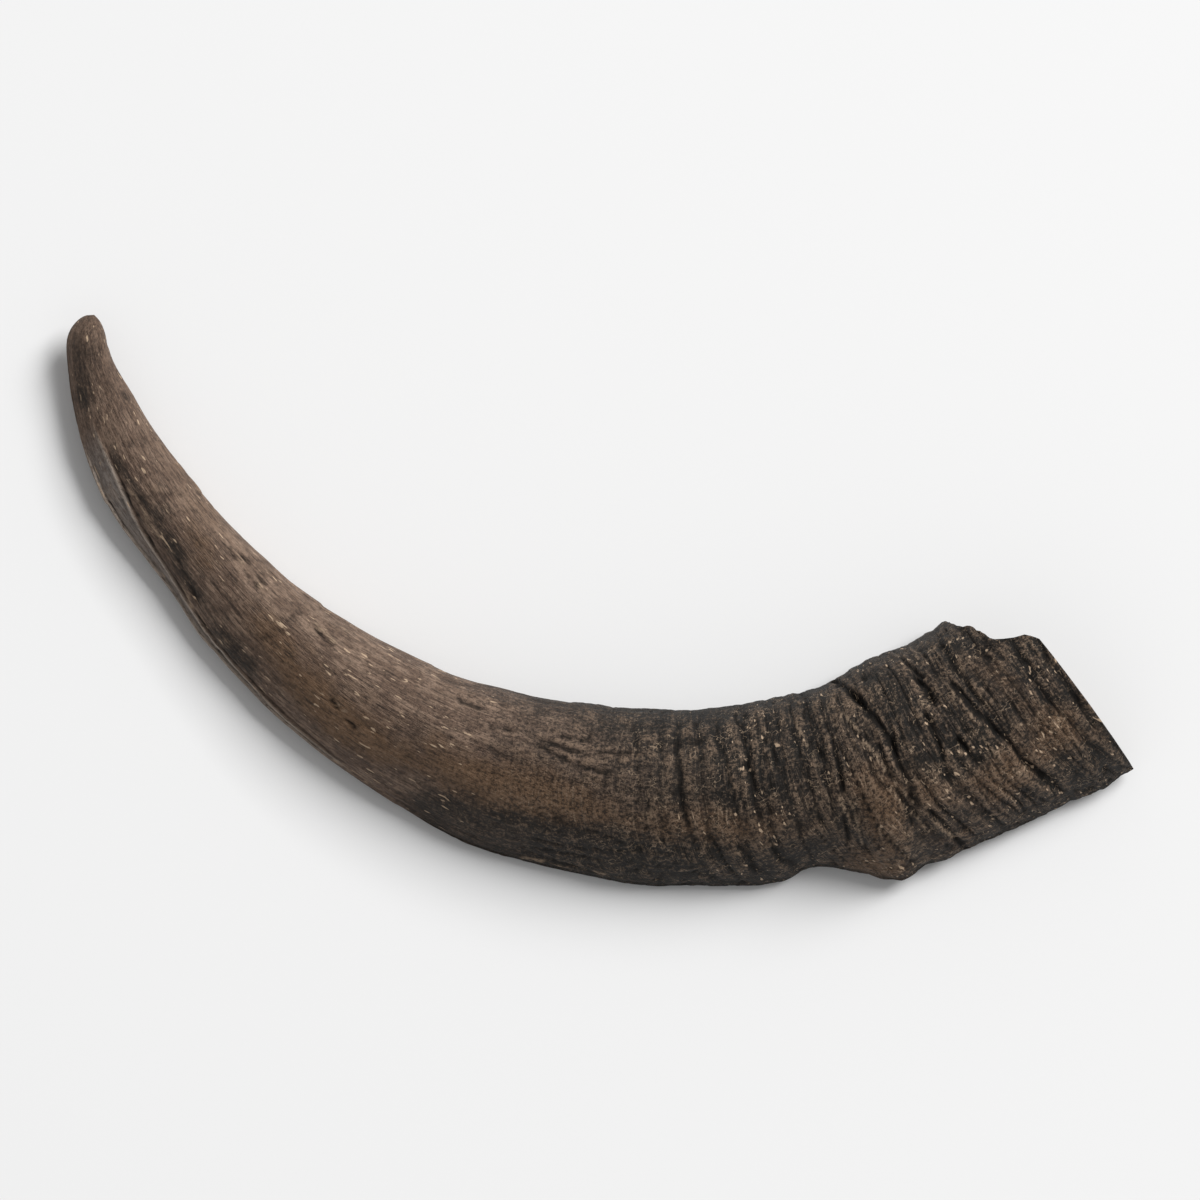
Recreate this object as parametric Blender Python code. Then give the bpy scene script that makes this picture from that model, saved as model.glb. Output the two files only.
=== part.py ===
"""A goat's horn: one grown piece, sawn off at the skull end and hollow behind the cut.

The horn lies on its flatter inner side. +X runs along its longest reach towards the sawn end,
+Y towards the hollow of its curve, and +Z up. The origin is the middle of the box that holds the
horn, on the surface that the horn lies on. Lengths are metres and angles are degrees.

The surface is swept along a middle line that starts at the tip. A place on the surface has two
coordinates: the station, which is the distance from the tip along the middle line, and the
angle round the section, which is 0 on the keel, 90 on the rounded outer side, 180 on the edge
inside the curve and 270 on the flat inner side.
"""
import math

import bmesh
import bpy
import numpy as np

HORN_NAME = "horn"

# The middle line seen from above: its bearing at each station, turning left towards the base
BEARINGS = (
    (0.000, -101.3),
    (0.009, -76.4),
    (0.025, -68.0),
    (0.050, -53.0),
    (0.080, -44.0),
    (0.120, -28.0),
    (0.160, -12.0),
    (0.200, 3.5),
    (0.220, 12.0),
    (0.235, 21.0),
    (0.255, 27.0),
    (0.283, 27.5),
)
# Depth of the section from the keel to the edge inside the curve
DEPTHS = (
    (0.000, 0.0088),
    (0.009, 0.0107),
    (0.025, 0.0148),
    (0.050, 0.0196),
    (0.080, 0.0236),
    (0.120, 0.0306),
    (0.160, 0.0374),
    (0.200, 0.0400),
    (0.220, 0.0410),
    (0.235, 0.0450),
    (0.255, 0.0480),
    (0.283, 0.0484),
)
# Height of the rounded outer side above the middle line, as a share of the depth
CROWN_SHARES = ((0.000, 0.44), (0.060, 0.45), (0.150, 0.46), (0.283, 0.47))
# Fall of the flat inner side below the middle line, as a share of the depth
SOLE_SHARES = ((0.000, 0.32), (0.060, 0.26), (0.150, 0.20), (0.283, 0.18))
# The horn's own twist: the keel turns up towards the tip and a little down at the bend
TWISTS = (
    (0.000, 20.0),
    (0.050, 15.0),
    (0.110, 4.0),
    (0.165, -5.0),
    (0.215, -2.5),
    (0.250, 1.0),
    (0.283, 2.0),
)
# Gap under the inner side: the horn touches the ground behind the tip, at the bend and at the base
GAPS = (
    (0.000, 0.0055),
    (0.022, 0.0022),
    (0.055, 0.0000),
    (0.110, 0.0006),
    (0.165, 0.0000),
    (0.210, 0.0010),
    (0.229, 0.0022),
    (0.248, 0.0009),
    (0.270, 0.0000),
    (0.290, 0.0000),
)

# Blunt tip: a rounded cap, drawn out at its end, which leans to the inside of the curve
TIP_RADIUS = 0.0060
TIP_LEAN = 0.00075
TIP_REACH = 0.00095

# Section: how sharply the outer side drops to the keel, and where its two edges stand
KEEL_SHARPNESS = 1.7
SOLE_FLATNESS = 0.8
INSIDE_EDGE_LEVEL = 0.25
KEEL_LEVEL = 0.62

# Sawn end: an upright plane across the middle line at this station, and its own bearing
SAW_STATION = 0.2784
SAW_BEARING = 38.0
# Broken corner beside the saw cut: how far the break goes back at each angle
BREAK = (
    (118.0, 0.0000),
    (123.0, 0.0026),
    (128.0, 0.0071),
    (132.0, 0.0080),
    (138.0, 0.0089),
    (148.0, 0.0108),
    (158.0, 0.0127),
    (169.0, 0.0138),
    (180.0, 0.0142),
    (195.0, 0.0140),
    (212.0, 0.0112),
    (231.0, 0.0080),
    (238.0, 0.0035),
    (246.0, 0.0000),
)

# Hollow: wall thickness at the mouth, and how far in the hollow reaches
SIDE_WALL = 0.0032
KEEL_WALL = 0.0070
INSIDE_EDGE_WALL = 0.0034
HOLLOW_DEPTH = 0.150

# Growth rings: even swellings near the base, which bend towards the base beside the keel
RING_SPACING = 0.0056
RING_DEPTH = 0.00045
RING_DRIFT = 0.0011
RING_DRIFT_SPACING = 0.031
RING_START = 0.135
RING_FULL = 0.235
RING_SWEEP = 0.010
RING_CREST_LEVEL = 0.4
RING_EDGE_STRENGTH = 0.40
RING_INSIDE_FADE = (0.0, 0.12)
RING_KEEL_FADE = (0.90, 1.0)
# Deeper grooves among the rings: station at the edge inside the curve, depth and half width
GROOVES = (
    (0.1850, 0.00035, 0.0010),
    (0.2010, 0.00055, 0.0010),
    (0.2170, 0.00080, 0.0012),
    (0.2310, 0.00170, 0.0014),
    (0.2490, 0.00100, 0.0014),
    (0.2570, 0.00080, 0.0012),
)
# Swellings and nicks along the keel: station, reach and half length
KEEL_FORMS = (
    (0.0050, -0.0008, 0.008),
    (0.0590, -0.0019, 0.014),
    (0.1430, 0.0013, 0.012),
    (0.1780, 0.0009, 0.013),
    (0.2140, -0.0027, 0.0058),
    (0.2285, 0.0031, 0.0048),
    (0.2385, 0.0009, 0.0028),
    (0.2740, 0.0010, 0.005),
)
KEEL_FORM_GATHER = 4.0
# Swellings and hollows along the edge inside the curve: station, reach and half length
INSIDE_EDGE_FORMS = (
    (0.0030, -0.0005, 0.0045),
    (0.0125, -0.0005, 0.0055),
    (0.0440, 0.0007, 0.010),
    (0.1500, -0.0006, 0.014),
    (0.2120, 0.0018, 0.016),
    (0.2380, 0.0013, 0.012),
    (0.2640, 0.0009, 0.007),
)
INSIDE_EDGE_GATHER = 2.0
# Long crease on the outer side, between the crown and the edge inside the curve
CREASE_ANGLE = 132.0
CREASE_HALF_WIDTH = 9.0
CREASE_DEPTH = 0.0007
CREASE_SPAN = (0.118, 0.200)
# Narrow flank beside the keel on the tip half, a little sunk below the outer side
FLANK_ANGLES = ((0.020, 60.0), (0.060, 50.0), (0.084, 42.0), (0.115, 30.0))
FLANK_SINK = 0.0005
FLANK_SPAN = (0.022, 0.118)
FLANK_KEEL_SIDE = (8.0, 16.0)
FLANK_OUTER_SIDE = (-4.0, 2.0)
FADE = 0.012

# Mesh: sides round the section, and ring spacing up to each station
SIDES = 34
ROW_SPACINGS = ((0.0055, 0.0011), (0.020, 0.0030), (0.130, 0.0046), (0.195, 0.0027), (0.2385, 0.0015))
MOUTH_ROWS = 26
HOLLOW_ROWS = 18
LINE_STEP = 0.0005
LINE_END = 0.300
LINE_ANGLE_STEP = 5.0
SAW_STEPS = 12

HORN_COLOUR = (0.105, 0.074, 0.055, 1.0)
HORN_ROUGHNESS = 0.62
SMOOTH_ANGLE = 50.0


def read_along(table, stations):
    """Read a table of (station, value) rows with a smooth curve through its values."""
    knots = np.array([row[0] for row in table])
    values = np.array([row[1] for row in table])
    widths = np.diff(knots)
    rises = np.diff(values) / widths
    slopes = np.empty_like(values)
    slopes[0] = rises[0]
    slopes[-1] = rises[-1]
    slopes[1:-1] = (rises[:-1] * widths[1:] + rises[1:] * widths[:-1]) / (widths[1:] + widths[:-1])
    stations = np.clip(stations, knots[0], knots[-1])
    row = np.clip(np.searchsorted(knots, stations) - 1, 0, len(knots) - 2)
    width = widths[row]
    part = (stations - knots[row]) / width
    start = values[row] * (2 * part**3 - 3 * part**2 + 1)
    start_slope = slopes[row] * width * (part**3 - 2 * part**2 + part)
    end = values[row + 1] * (3 * part**2 - 2 * part**3)
    end_slope = slopes[row + 1] * width * (part**3 - part**2)
    return start + start_slope + end + end_slope


def ease(values, low, high):
    """Rise smoothly from 0 at low to 1 at high."""
    part = np.clip((values - low) / (high - low), 0.0, 1.0)
    return part * part * (3.0 - 2.0 * part)


def bump(values, centre, half_width):
    """A rounded bump, 1 at the centre and next to nothing two half widths away."""
    return np.exp(-(((values - centre) / half_width) ** 2))


def share_ahead(stations):
    """How much of the tip's rounding still lies ahead: 1 at the tip, 0 where the cap ends."""
    return np.clip(1.0 - stations / TIP_RADIUS, 0.0, 1.0)


def sum_of_bumps(forms, stations):
    """Height at each station of a row of bumps, each given as station, height and half length."""
    total = np.zeros_like(stations)
    for station, height, half_length in forms:
        total = total + height * bump(stations, station, half_length)
    return total


def keel_share(angles):
    """How far round a point is towards the keel: 1 on the keel, 0 on the edge inside the curve."""
    return (1.0 + np.cos(np.radians(angles))) / 2.0


def side_height(angles):
    """Height of the outer side as a share of its crown, from the keel round to the other edge."""
    half = np.radians(angles) / 2.0
    crown = math.atan(math.sqrt(KEEL_SHARPNESS))
    highest = math.sin(crown) ** KEEL_SHARPNESS * math.cos(crown)
    return np.abs(np.sin(half)) ** KEEL_SHARPNESS * np.abs(np.cos(half)) / highest


def section(angles, keel_reach, edge_reach, crown, sole):
    """Outline of one section: distance towards the keel, and height, for each angle."""
    turns = np.radians(angles)
    middle = (keel_reach - edge_reach) / 2.0
    across = middle + (keel_reach + edge_reach) / 2.0 * np.cos(turns)
    edge_level = INSIDE_EDGE_LEVEL + (KEEL_LEVEL - INSIDE_EDGE_LEVEL) * keel_share(angles)
    rise = (crown + edge_level * sole) * side_height(angles)
    fall = (1.0 - edge_level) * sole * np.abs(np.sin(turns)) ** SOLE_FLATNESS
    up = np.where(np.sin(turns) >= 0.0, rise, -fall) - edge_level * sole
    return across, up


def turned_section(stations, angles, inner, capped=True):
    """Section of the horn, or of its hollow, turned by the horn's twist."""
    before_cap = share_ahead(stations) if capped else np.zeros_like(stations)
    half = read_along(DEPTHS, stations) / 2.0 * np.sqrt(1.0 - before_cap**2)
    crown = 2.0 * half * read_along(CROWN_SHARES, stations)
    sole = 2.0 * half * read_along(SOLE_SHARES, stations)
    keel_reach = half
    edge_reach = half
    if inner:
        deep = np.clip((SAW_STATION - stations) / HOLLOW_DEPTH, 0.0, 1.0)
        narrowing = np.sqrt(1.0 - deep**2)
        keel_reach = (half - KEEL_WALL) * narrowing
        edge_reach = (half - INSIDE_EDGE_WALL) * narrowing
        crown = (crown - SIDE_WALL) * narrowing
        sole = (sole - SIDE_WALL) * narrowing
    across, up = section(angles, keel_reach, edge_reach, crown, sole)
    if not inner:
        at_keel = keel_share(angles)
        across = across + sum_of_bumps(KEEL_FORMS, stations) * at_keel**KEEL_FORM_GATHER
        across = across - sum_of_bumps(INSIDE_EDGE_FORMS, stations) * (1.0 - at_keel) ** INSIDE_EDGE_GATHER
    twist = np.radians(read_along(TWISTS, stations))
    turned_across = across * np.cos(twist) - up * np.sin(twist) - TIP_LEAN * before_cap
    turned_up = across * np.sin(twist) + up * np.cos(twist)
    return turned_across, turned_up


class MiddleLine:
    """The curve that the sections stand on, worked out once at close steps."""

    def __init__(self):
        self.stations = np.arange(0.0, LINE_END, LINE_STEP)
        bearings = np.radians(read_along(BEARINGS, self.stations))
        self.along = np.stack((np.cos(bearings), np.sin(bearings)), axis=1)
        moves = (self.along[1:] + self.along[:-1]) / 2.0 * LINE_STEP
        self.plan = np.concatenate((np.zeros((1, 2)), np.cumsum(moves, axis=0)))
        angles = np.arange(0.0, 360.0, LINE_ANGLE_STEP)
        grid_stations, grid_angles = np.meshgrid(self.stations, angles, indexing="ij")
        lowest = turned_section(grid_stations, grid_angles, False, capped=False)[1].min(axis=1)
        self.height = read_along(GAPS, self.stations) - lowest

    def read(self, values, stations):
        """Value of one of the line's columns at any stations."""
        return np.interp(stations, self.stations, values)

    def place(self, stations, angles, inner):
        """Points of the horn's smooth surface, or of its hollow's."""
        across, up = turned_section(stations, angles, inner)
        heading_x = self.read(self.along[:, 0], stations)
        heading_y = self.read(self.along[:, 1], stations)
        reach = TIP_REACH * share_ahead(stations)
        x = self.read(self.plan[:, 0], stations) + across * heading_y - reach * heading_x
        y = self.read(self.plan[:, 1], stations) - across * heading_x - reach * heading_y
        z = self.read(self.height, stations) + up
        return np.stack((x, y, z), axis=-1)


def saw_cut(line):
    """The saw cut's plane: a point on it, and its normal away from the horn."""
    bearing = math.radians(SAW_BEARING)
    normal = np.array((math.cos(bearing), math.sin(bearing), 0.0))
    middle_x = line.read(line.plan[:, 0], SAW_STATION)
    middle_y = line.read(line.plan[:, 1], SAW_STATION)
    return np.array((middle_x, middle_y, 0.0)), normal


def broken_back(angles):
    """How far the broken corner lies behind the saw cut at each angle."""
    return np.interp(angles, [row[0] for row in BREAK], [row[1] for row in BREAK])


def rim_stations(line, angles, inner):
    """Stations where the surface meets the saw cut, less the broken corner."""
    middle, normal = saw_cut(line)
    stations = np.full(angles.shape, SAW_STATION)
    for _ in range(SAW_STEPS):
        beyond = (line.place(stations, angles, inner) - middle) @ normal
        stations = stations - beyond
    return stations - broken_back(angles)


def growth_relief(stations, angles):
    """Growth rings and grooves: they gather depth towards the base and sweep along the keel."""
    ring_station = stations - RING_SWEEP * keel_share(angles) ** 3
    drift = RING_DRIFT * np.sin(2.0 * math.pi * ring_station / RING_DRIFT_SPACING)
    phase = 2.0 * math.pi * (ring_station + drift) / RING_SPACING
    valleys = (0.5 + 0.5 * np.cos(phase)) ** 2
    strength = ease(stations, RING_START, RING_FULL)
    rings = RING_DEPTH * strength * (RING_CREST_LEVEL - valleys)
    share = keel_share(angles)
    between_edges = ease(share, *RING_INSIDE_FADE) * (1.0 - ease(share, *RING_KEEL_FADE))
    edge_strength = RING_EDGE_STRENGTH + (1.0 - RING_EDGE_STRENGTH) * between_edges
    return (rings - sum_of_bumps(GROOVES, ring_station)) * edge_strength


def long_relief(stations, angles):
    """Forms that run along the horn: the crease on the outer side and the flank by the keel."""
    crease_ends = ease(stations, CREASE_SPAN[0], CREASE_SPAN[0] + FADE)
    crease_ends = crease_ends * (1.0 - ease(stations, CREASE_SPAN[1] - FADE, CREASE_SPAN[1]))
    crease = CREASE_DEPTH * crease_ends * bump(angles, CREASE_ANGLE, CREASE_HALF_WIDTH)
    flank_ends = ease(stations, FLANK_SPAN[0], FLANK_SPAN[0] + FADE)
    flank_ends = flank_ends * (1.0 - ease(stations, FLANK_SPAN[1] - FADE, FLANK_SPAN[1]))
    past_edge = angles - read_along(FLANK_ANGLES, stations)
    on_flank = ease(angles, *FLANK_KEEL_SIDE) * (1.0 - ease(past_edge, *FLANK_OUTER_SIDE))
    return -crease - FLANK_SINK * flank_ends * on_flank


def outward(points):
    """Unit normals of a grid of points, whose rows run to the base and whose columns go round."""
    down_rows = np.gradient(points, axis=0)
    round_rows = np.roll(points, -1, axis=1) - np.roll(points, 1, axis=1)
    normals = np.cross(down_rows, round_rows)
    return normals / np.linalg.norm(normals, axis=2, keepdims=True)


def outer_stations(rims):
    """Station of every point of the outer grid, closing in on the rim towards the mouth."""
    rows = [0.0]
    for end, spacing in ROW_SPACINGS:
        count = round((end - rows[-1]) / spacing)
        rows.extend(np.linspace(rows[-1], end, count + 1)[1:])
    even = np.repeat(np.array(rows)[1:, None], SIDES, axis=1)
    parts = np.linspace(0.0, 1.0, MOUTH_ROWS + 1)[1:, None]
    mouth = rows[-1] + (rims[None, :] - rows[-1]) * parts
    return np.concatenate((even, mouth))


def hollow_stations(rims):
    """Station of every point of the hollow's grid, from the rim to the hollow's end."""
    end = SAW_STATION - HOLLOW_DEPTH
    parts = np.sin(np.linspace(0.0, math.pi / 2.0, HOLLOW_ROWS + 1))[:-1, None]
    return rims[None, :] + (end - rims[None, :]) * parts


def outer_grid(line, angles):
    """Points of the horn's outside, with all its relief, down to the rim."""
    stations = outer_stations(rim_stations(line, angles, False))
    grid_angles = np.repeat(angles[None, :], len(stations), axis=0)
    points = line.place(stations, grid_angles, False)
    relief = growth_relief(stations, grid_angles) + long_relief(stations, grid_angles)
    return points + outward(points) * relief[..., None]


def flatten_on_saw_cut(line, points, angles):
    """Bring the sawn points of a rim exactly onto the saw cut."""
    middle, normal = saw_cut(line)
    beyond = (points - middle) @ normal
    sawn = broken_back(angles) == 0.0
    points[sawn] = points[sawn] - beyond[sawn, None] * normal


def add_rings(mesh, rings):
    """Join rings of points with faces, in order."""
    loops = [[mesh.verts.new(point) for point in ring] for ring in rings]
    for first, second in zip(loops[:-1], loops[1:]):
        for side in range(SIDES):
            after = (side + 1) % SIDES
            mesh.faces.new((first[side], first[after], second[after], second[side]))
    return loops


def close_end(mesh, loop, point):
    """Close a ring of points with a fan of triangles to one end point."""
    end = mesh.verts.new(point)
    for side in range(SIDES):
        mesh.faces.new((end, loop[side], loop[(side + 1) % SIDES]))


def horn_mesh():
    """The whole horn as one closed skin: outside, rim and hollow."""
    line = MiddleLine()
    angles = np.arange(SIDES) * 360.0 / SIDES
    outside = outer_grid(line, angles)
    hollow = line.place(
        hollow_stations(rim_stations(line, angles, True)),
        np.repeat(angles[None, :], HOLLOW_ROWS, axis=0),
        True,
    )
    flatten_on_saw_cut(line, outside[-1], angles)
    flatten_on_saw_cut(line, hollow[0], angles)
    tip = line.place(np.zeros(1), np.zeros(1), False)[0]
    hollow_end = line.place(np.full(1, SAW_STATION - HOLLOW_DEPTH), np.zeros(1), True)[0]
    low = np.minimum(outside.min(axis=(0, 1)), tip)
    high = np.maximum(outside.max(axis=(0, 1)), tip)
    origin = np.array(((low[0] + high[0]) / 2.0, (low[1] + high[1]) / 2.0, low[2]))
    mesh = bmesh.new()
    loops = add_rings(mesh, np.concatenate((outside, hollow)) - origin)
    close_end(mesh, loops[0], tip - origin)
    close_end(mesh, loops[-1], hollow_end - origin)
    bmesh.ops.triangulate(mesh, faces=mesh.faces[:], quad_method="SHORT_EDGE")
    bmesh.ops.recalc_face_normals(mesh, faces=mesh.faces[:])
    return mesh


def horn_material():
    """Dull grey-brown horn."""
    material = bpy.data.materials.new("horn_keratin")
    material.use_nodes = True
    shader = material.node_tree.nodes["Principled BSDF"]
    shader.inputs["Base Color"].default_value = HORN_COLOUR
    shader.inputs["Roughness"].default_value = HORN_ROUGHNESS
    shader.inputs["Metallic"].default_value = 0.0
    return material


def build():
    """Clear the scene and make the horn."""
    for item in list(bpy.data.objects):
        bpy.data.objects.remove(item, do_unlink=True)
    skin = horn_mesh()
    mesh = bpy.data.meshes.new(HORN_NAME)
    skin.to_mesh(mesh)
    skin.free()
    mesh.shade_smooth()
    mesh.set_sharp_from_angle(angle=math.radians(SMOOTH_ANGLE))
    mesh.materials.append(horn_material())
    horn = bpy.data.objects.new(HORN_NAME, mesh)
    bpy.context.scene.collection.objects.link(horn)


build()
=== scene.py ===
"""A goat's horn, dressed: the weathered sheath with its growth rings, sawn mouth and hollow.

The horn is swept along a middle line that starts at the tip. A place on its surface has two
coordinates: the station, which is the distance from the tip along the middle line, and the angle
round the section, which is 0 on the keel, 90 on the rounded outer side, 180 on the edge inside
the curve and 270 on the flat inner side. Lengths are metres and angles are degrees.
"""
from __future__ import annotations

import itertools
import logging
import math
from dataclasses import dataclass, field
from enum import Enum
from typing import Any

import bpy
import numpy as np
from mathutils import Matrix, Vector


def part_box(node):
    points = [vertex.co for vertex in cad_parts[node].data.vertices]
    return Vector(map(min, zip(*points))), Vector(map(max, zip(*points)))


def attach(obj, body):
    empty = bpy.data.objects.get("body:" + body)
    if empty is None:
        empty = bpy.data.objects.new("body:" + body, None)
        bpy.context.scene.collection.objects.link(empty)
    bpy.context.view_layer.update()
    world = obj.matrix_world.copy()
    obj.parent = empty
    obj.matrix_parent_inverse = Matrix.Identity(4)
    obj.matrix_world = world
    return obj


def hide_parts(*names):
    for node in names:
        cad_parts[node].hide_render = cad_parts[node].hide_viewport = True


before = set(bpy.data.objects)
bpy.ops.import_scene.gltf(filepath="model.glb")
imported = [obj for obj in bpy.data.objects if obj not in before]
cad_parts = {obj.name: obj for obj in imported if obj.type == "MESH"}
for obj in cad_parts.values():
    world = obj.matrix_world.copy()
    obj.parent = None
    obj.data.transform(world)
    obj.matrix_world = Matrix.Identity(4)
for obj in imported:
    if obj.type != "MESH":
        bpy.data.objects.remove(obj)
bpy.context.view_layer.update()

Array = np.ndarray
Colour = tuple[float, float, float]
Pair = tuple[float, float]
Patch = tuple[float, float, float, float, float]
LOG = logging.getLogger("horn")

NODE = "horn"
BODY = "root"
SLOT = "horn_keratin"
UV_MAP = "OFBake"
STROKE_FADE = (-0.05, 0.12)
PATCH_FADE = (-0.3, 0.1)


class Skin(Enum):
    """The two skins of the sheath."""

    OUTSIDE = "outside"
    HOLLOW = "hollow"


class Mark(Enum):
    """Values kept on the horn's mesh for its finish to read."""

    STRAIGHT = "straight"
    BANDED = "banded"
    STATION = "station"
    KEEL = "keel"
    FLANK = "flank"
    WARM = "warm"
    # Darker patches, some of them painted shade.
    DARK = "dark_and_shade"
    # Where shade is painted into the grooves and pits.
    GROOVE_SHADE = "pit"
    # Where a highlight is painted onto crests.
    CREST_HIGHLIGHT = "crest"
    RIDGE = "ridge"
    LINE = "line"
    # Where a highlight is painted along the keel and the edge inside the curve.
    EDGE = "edge"
    HOLLOW = "hollow"
    CUT = "cut"


def ease(values: Array, low: float | Array, high: float | Array) -> Array:
    """Rise smoothly from 0 to 1.

    Args:
        values: Where to read the rise.
        low: Value at which it leaves 0.
        high: Value at which it reaches 1.

    Returns:
        The rise at each value.
    """
    part = np.clip((values - low) / (high - low), 0.0, 1.0)
    return part * part * (3.0 - 2.0 * part)


def bump(values: Array, centre: float | Array, half_width: float) -> Array:
    """A rounded bump, 1 at its centre.

    Args:
        values: Where to read the bump.
        centre: Value at its middle.
        half_width: Distance at which about a third of it is left.

    Returns:
        The bump at each value.
    """
    return np.exp(-(((values - centre) / half_width) ** 2))


def keel_share(angles: Array) -> Array:
    """How far round towards the keel a point is: 1 on the keel, 0 on the edge inside the curve."""
    return (1.0 + np.cos(np.radians(angles))) / 2.0


def between_edges(angles: Array, inside: float, keel: float) -> Array:
    """1 on the horn's sides, fading to 0 beyond the share inside and beyond the share keel."""
    share = keel_share(angles)
    return ease(share, 0.0, inside) * (1.0 - ease(share, keel, 1.0))


def on_outer_side(angles: Array, fade: Pair) -> Array:
    """1 on the rounded outer side, falling to 0 between two sines of the angle."""
    return ease(np.sin(np.radians(angles)), *fade)


def blur(values: Array, rows: int, sides: int) -> Array:
    """Smooth a grid of values by repeated averaging with its neighbours.

    Args:
        values: Grid whose rows run along the horn and whose columns go round it.
        rows: How many times to average along the horn.
        sides: How many times to average round it.

    Returns:
        The smoothed grid.
    """
    for _ in range(sides):
        values = (np.roll(values, 1, axis=1) + 2.0 * values + np.roll(values, -1, axis=1)) / 4.0
    for _ in range(rows):
        padded = np.concatenate((values[:1], values, values[-1:]))
        values = (padded[:-2] + 2.0 * padded[1:-1] + padded[2:]) / 4.0
    return values


def outward(points: Array) -> Array:
    """Find the unit normals of a grid of points.

    Args:
        points: Grid whose rows run to the base and whose columns go round.

    Returns:
        The normal at each point.
    """
    along = np.gradient(points, axis=0)
    around = np.roll(points, -1, axis=1) - np.roll(points, 1, axis=1)
    normals = np.cross(along, around)
    return normals / np.maximum(np.linalg.norm(normals, axis=2, keepdims=True), 1e-12)


@dataclass(frozen=True)
class Noise:
    """Smooth repeatable noise between -1 and 1."""

    seed: int
    cells: int = 64

    def at(self, points: Array, octaves: int = 1) -> Array:
        """Read the noise.

        Args:
            points: Places in noise cells, the last axis being X, Y and Z.
            octaves: How many layers to add, each twice as fine and half as strong.

        Returns:
            The noise at each place.
        """
        lattice = np.random.default_rng(self.seed).uniform(-1.0, 1.0, (self.cells,) * 3)
        total = np.zeros(points.shape[:-1])
        for octave in range(octaves):
            total = total + self._layer(lattice, points * 2.0**octave + 17.0 * octave) / 2.0**octave
        return total

    def _layer(self, lattice: Array, points: Array) -> Array:
        """One layer of the noise.

        Args:
            lattice: Values at the corners of the cells.
            points: Places in this layer's cells.

        Returns:
            The values, blended between the corners of each place's cell.
        """
        base = np.floor(points).astype(int)
        part = points - base
        part = part * part * (3.0 - 2.0 * part)
        total = np.zeros(points.shape[:-1])
        for corner in itertools.product((0, 1), repeat=3):
            index = (base + np.array(corner)) % self.cells
            weight = np.where(np.array(corner) == 1, part, 1.0 - part).prod(axis=-1)
            total = total + weight * lattice[index[..., 0], index[..., 1], index[..., 2]]
        return total


@dataclass(frozen=True)
class Places:
    """Places on the horn, each by its station, its angle and its point on the horn pulled straight.

    The banded points are like the straight ones, but with each growth ring at one station.
    """

    stations: Array
    angles: Array
    straight: Array
    banded: Array


@dataclass(frozen=True)
class Track:
    """A value that changes smoothly along the horn, given at a few stations."""

    rows: tuple[Pair, ...]

    def at(self, stations: Array) -> Array:
        """Read the track.

        Args:
            stations: Where to read it.

        Returns:
            The values, on a smooth curve through the given ones.
        """
        knots = np.array([row[0] for row in self.rows])
        values = np.array([row[1] for row in self.rows])
        widths = np.diff(knots)
        rises = np.diff(values) / widths
        slopes = np.empty_like(values)
        slopes[0] = rises[0]
        slopes[-1] = rises[-1]
        slopes[1:-1] = (rises[:-1] * widths[1:] + rises[1:] * widths[:-1]) / (widths[1:] + widths[:-1])
        stations = np.clip(stations, knots[0], knots[-1])
        row = np.clip(np.searchsorted(knots, stations) - 1, 0, len(knots) - 2)
        width = widths[row]
        part = (stations - knots[row]) / width
        start = values[row] * (2 * part**3 - 3 * part**2 + 1)
        start_slope = slopes[row] * width * (part**3 - 2 * part**2 + part)
        end = values[row + 1] * (3 * part**2 - 2 * part**3)
        end_slope = slopes[row + 1] * width * (part**3 - part**2)
        return start + start_slope + end + end_slope


@dataclass(frozen=True)
class Bumps:
    """A row of bumps along the horn, each given as station, height and half length."""

    rows: tuple[tuple[float, float, float], ...]

    def at(self, stations: Array) -> Array:
        """Sum of the bumps at each station."""
        total = np.zeros_like(stations)
        for station, height, half_length in self.rows:
            total = total + height * bump(stations, station, half_length)
        return total


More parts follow.
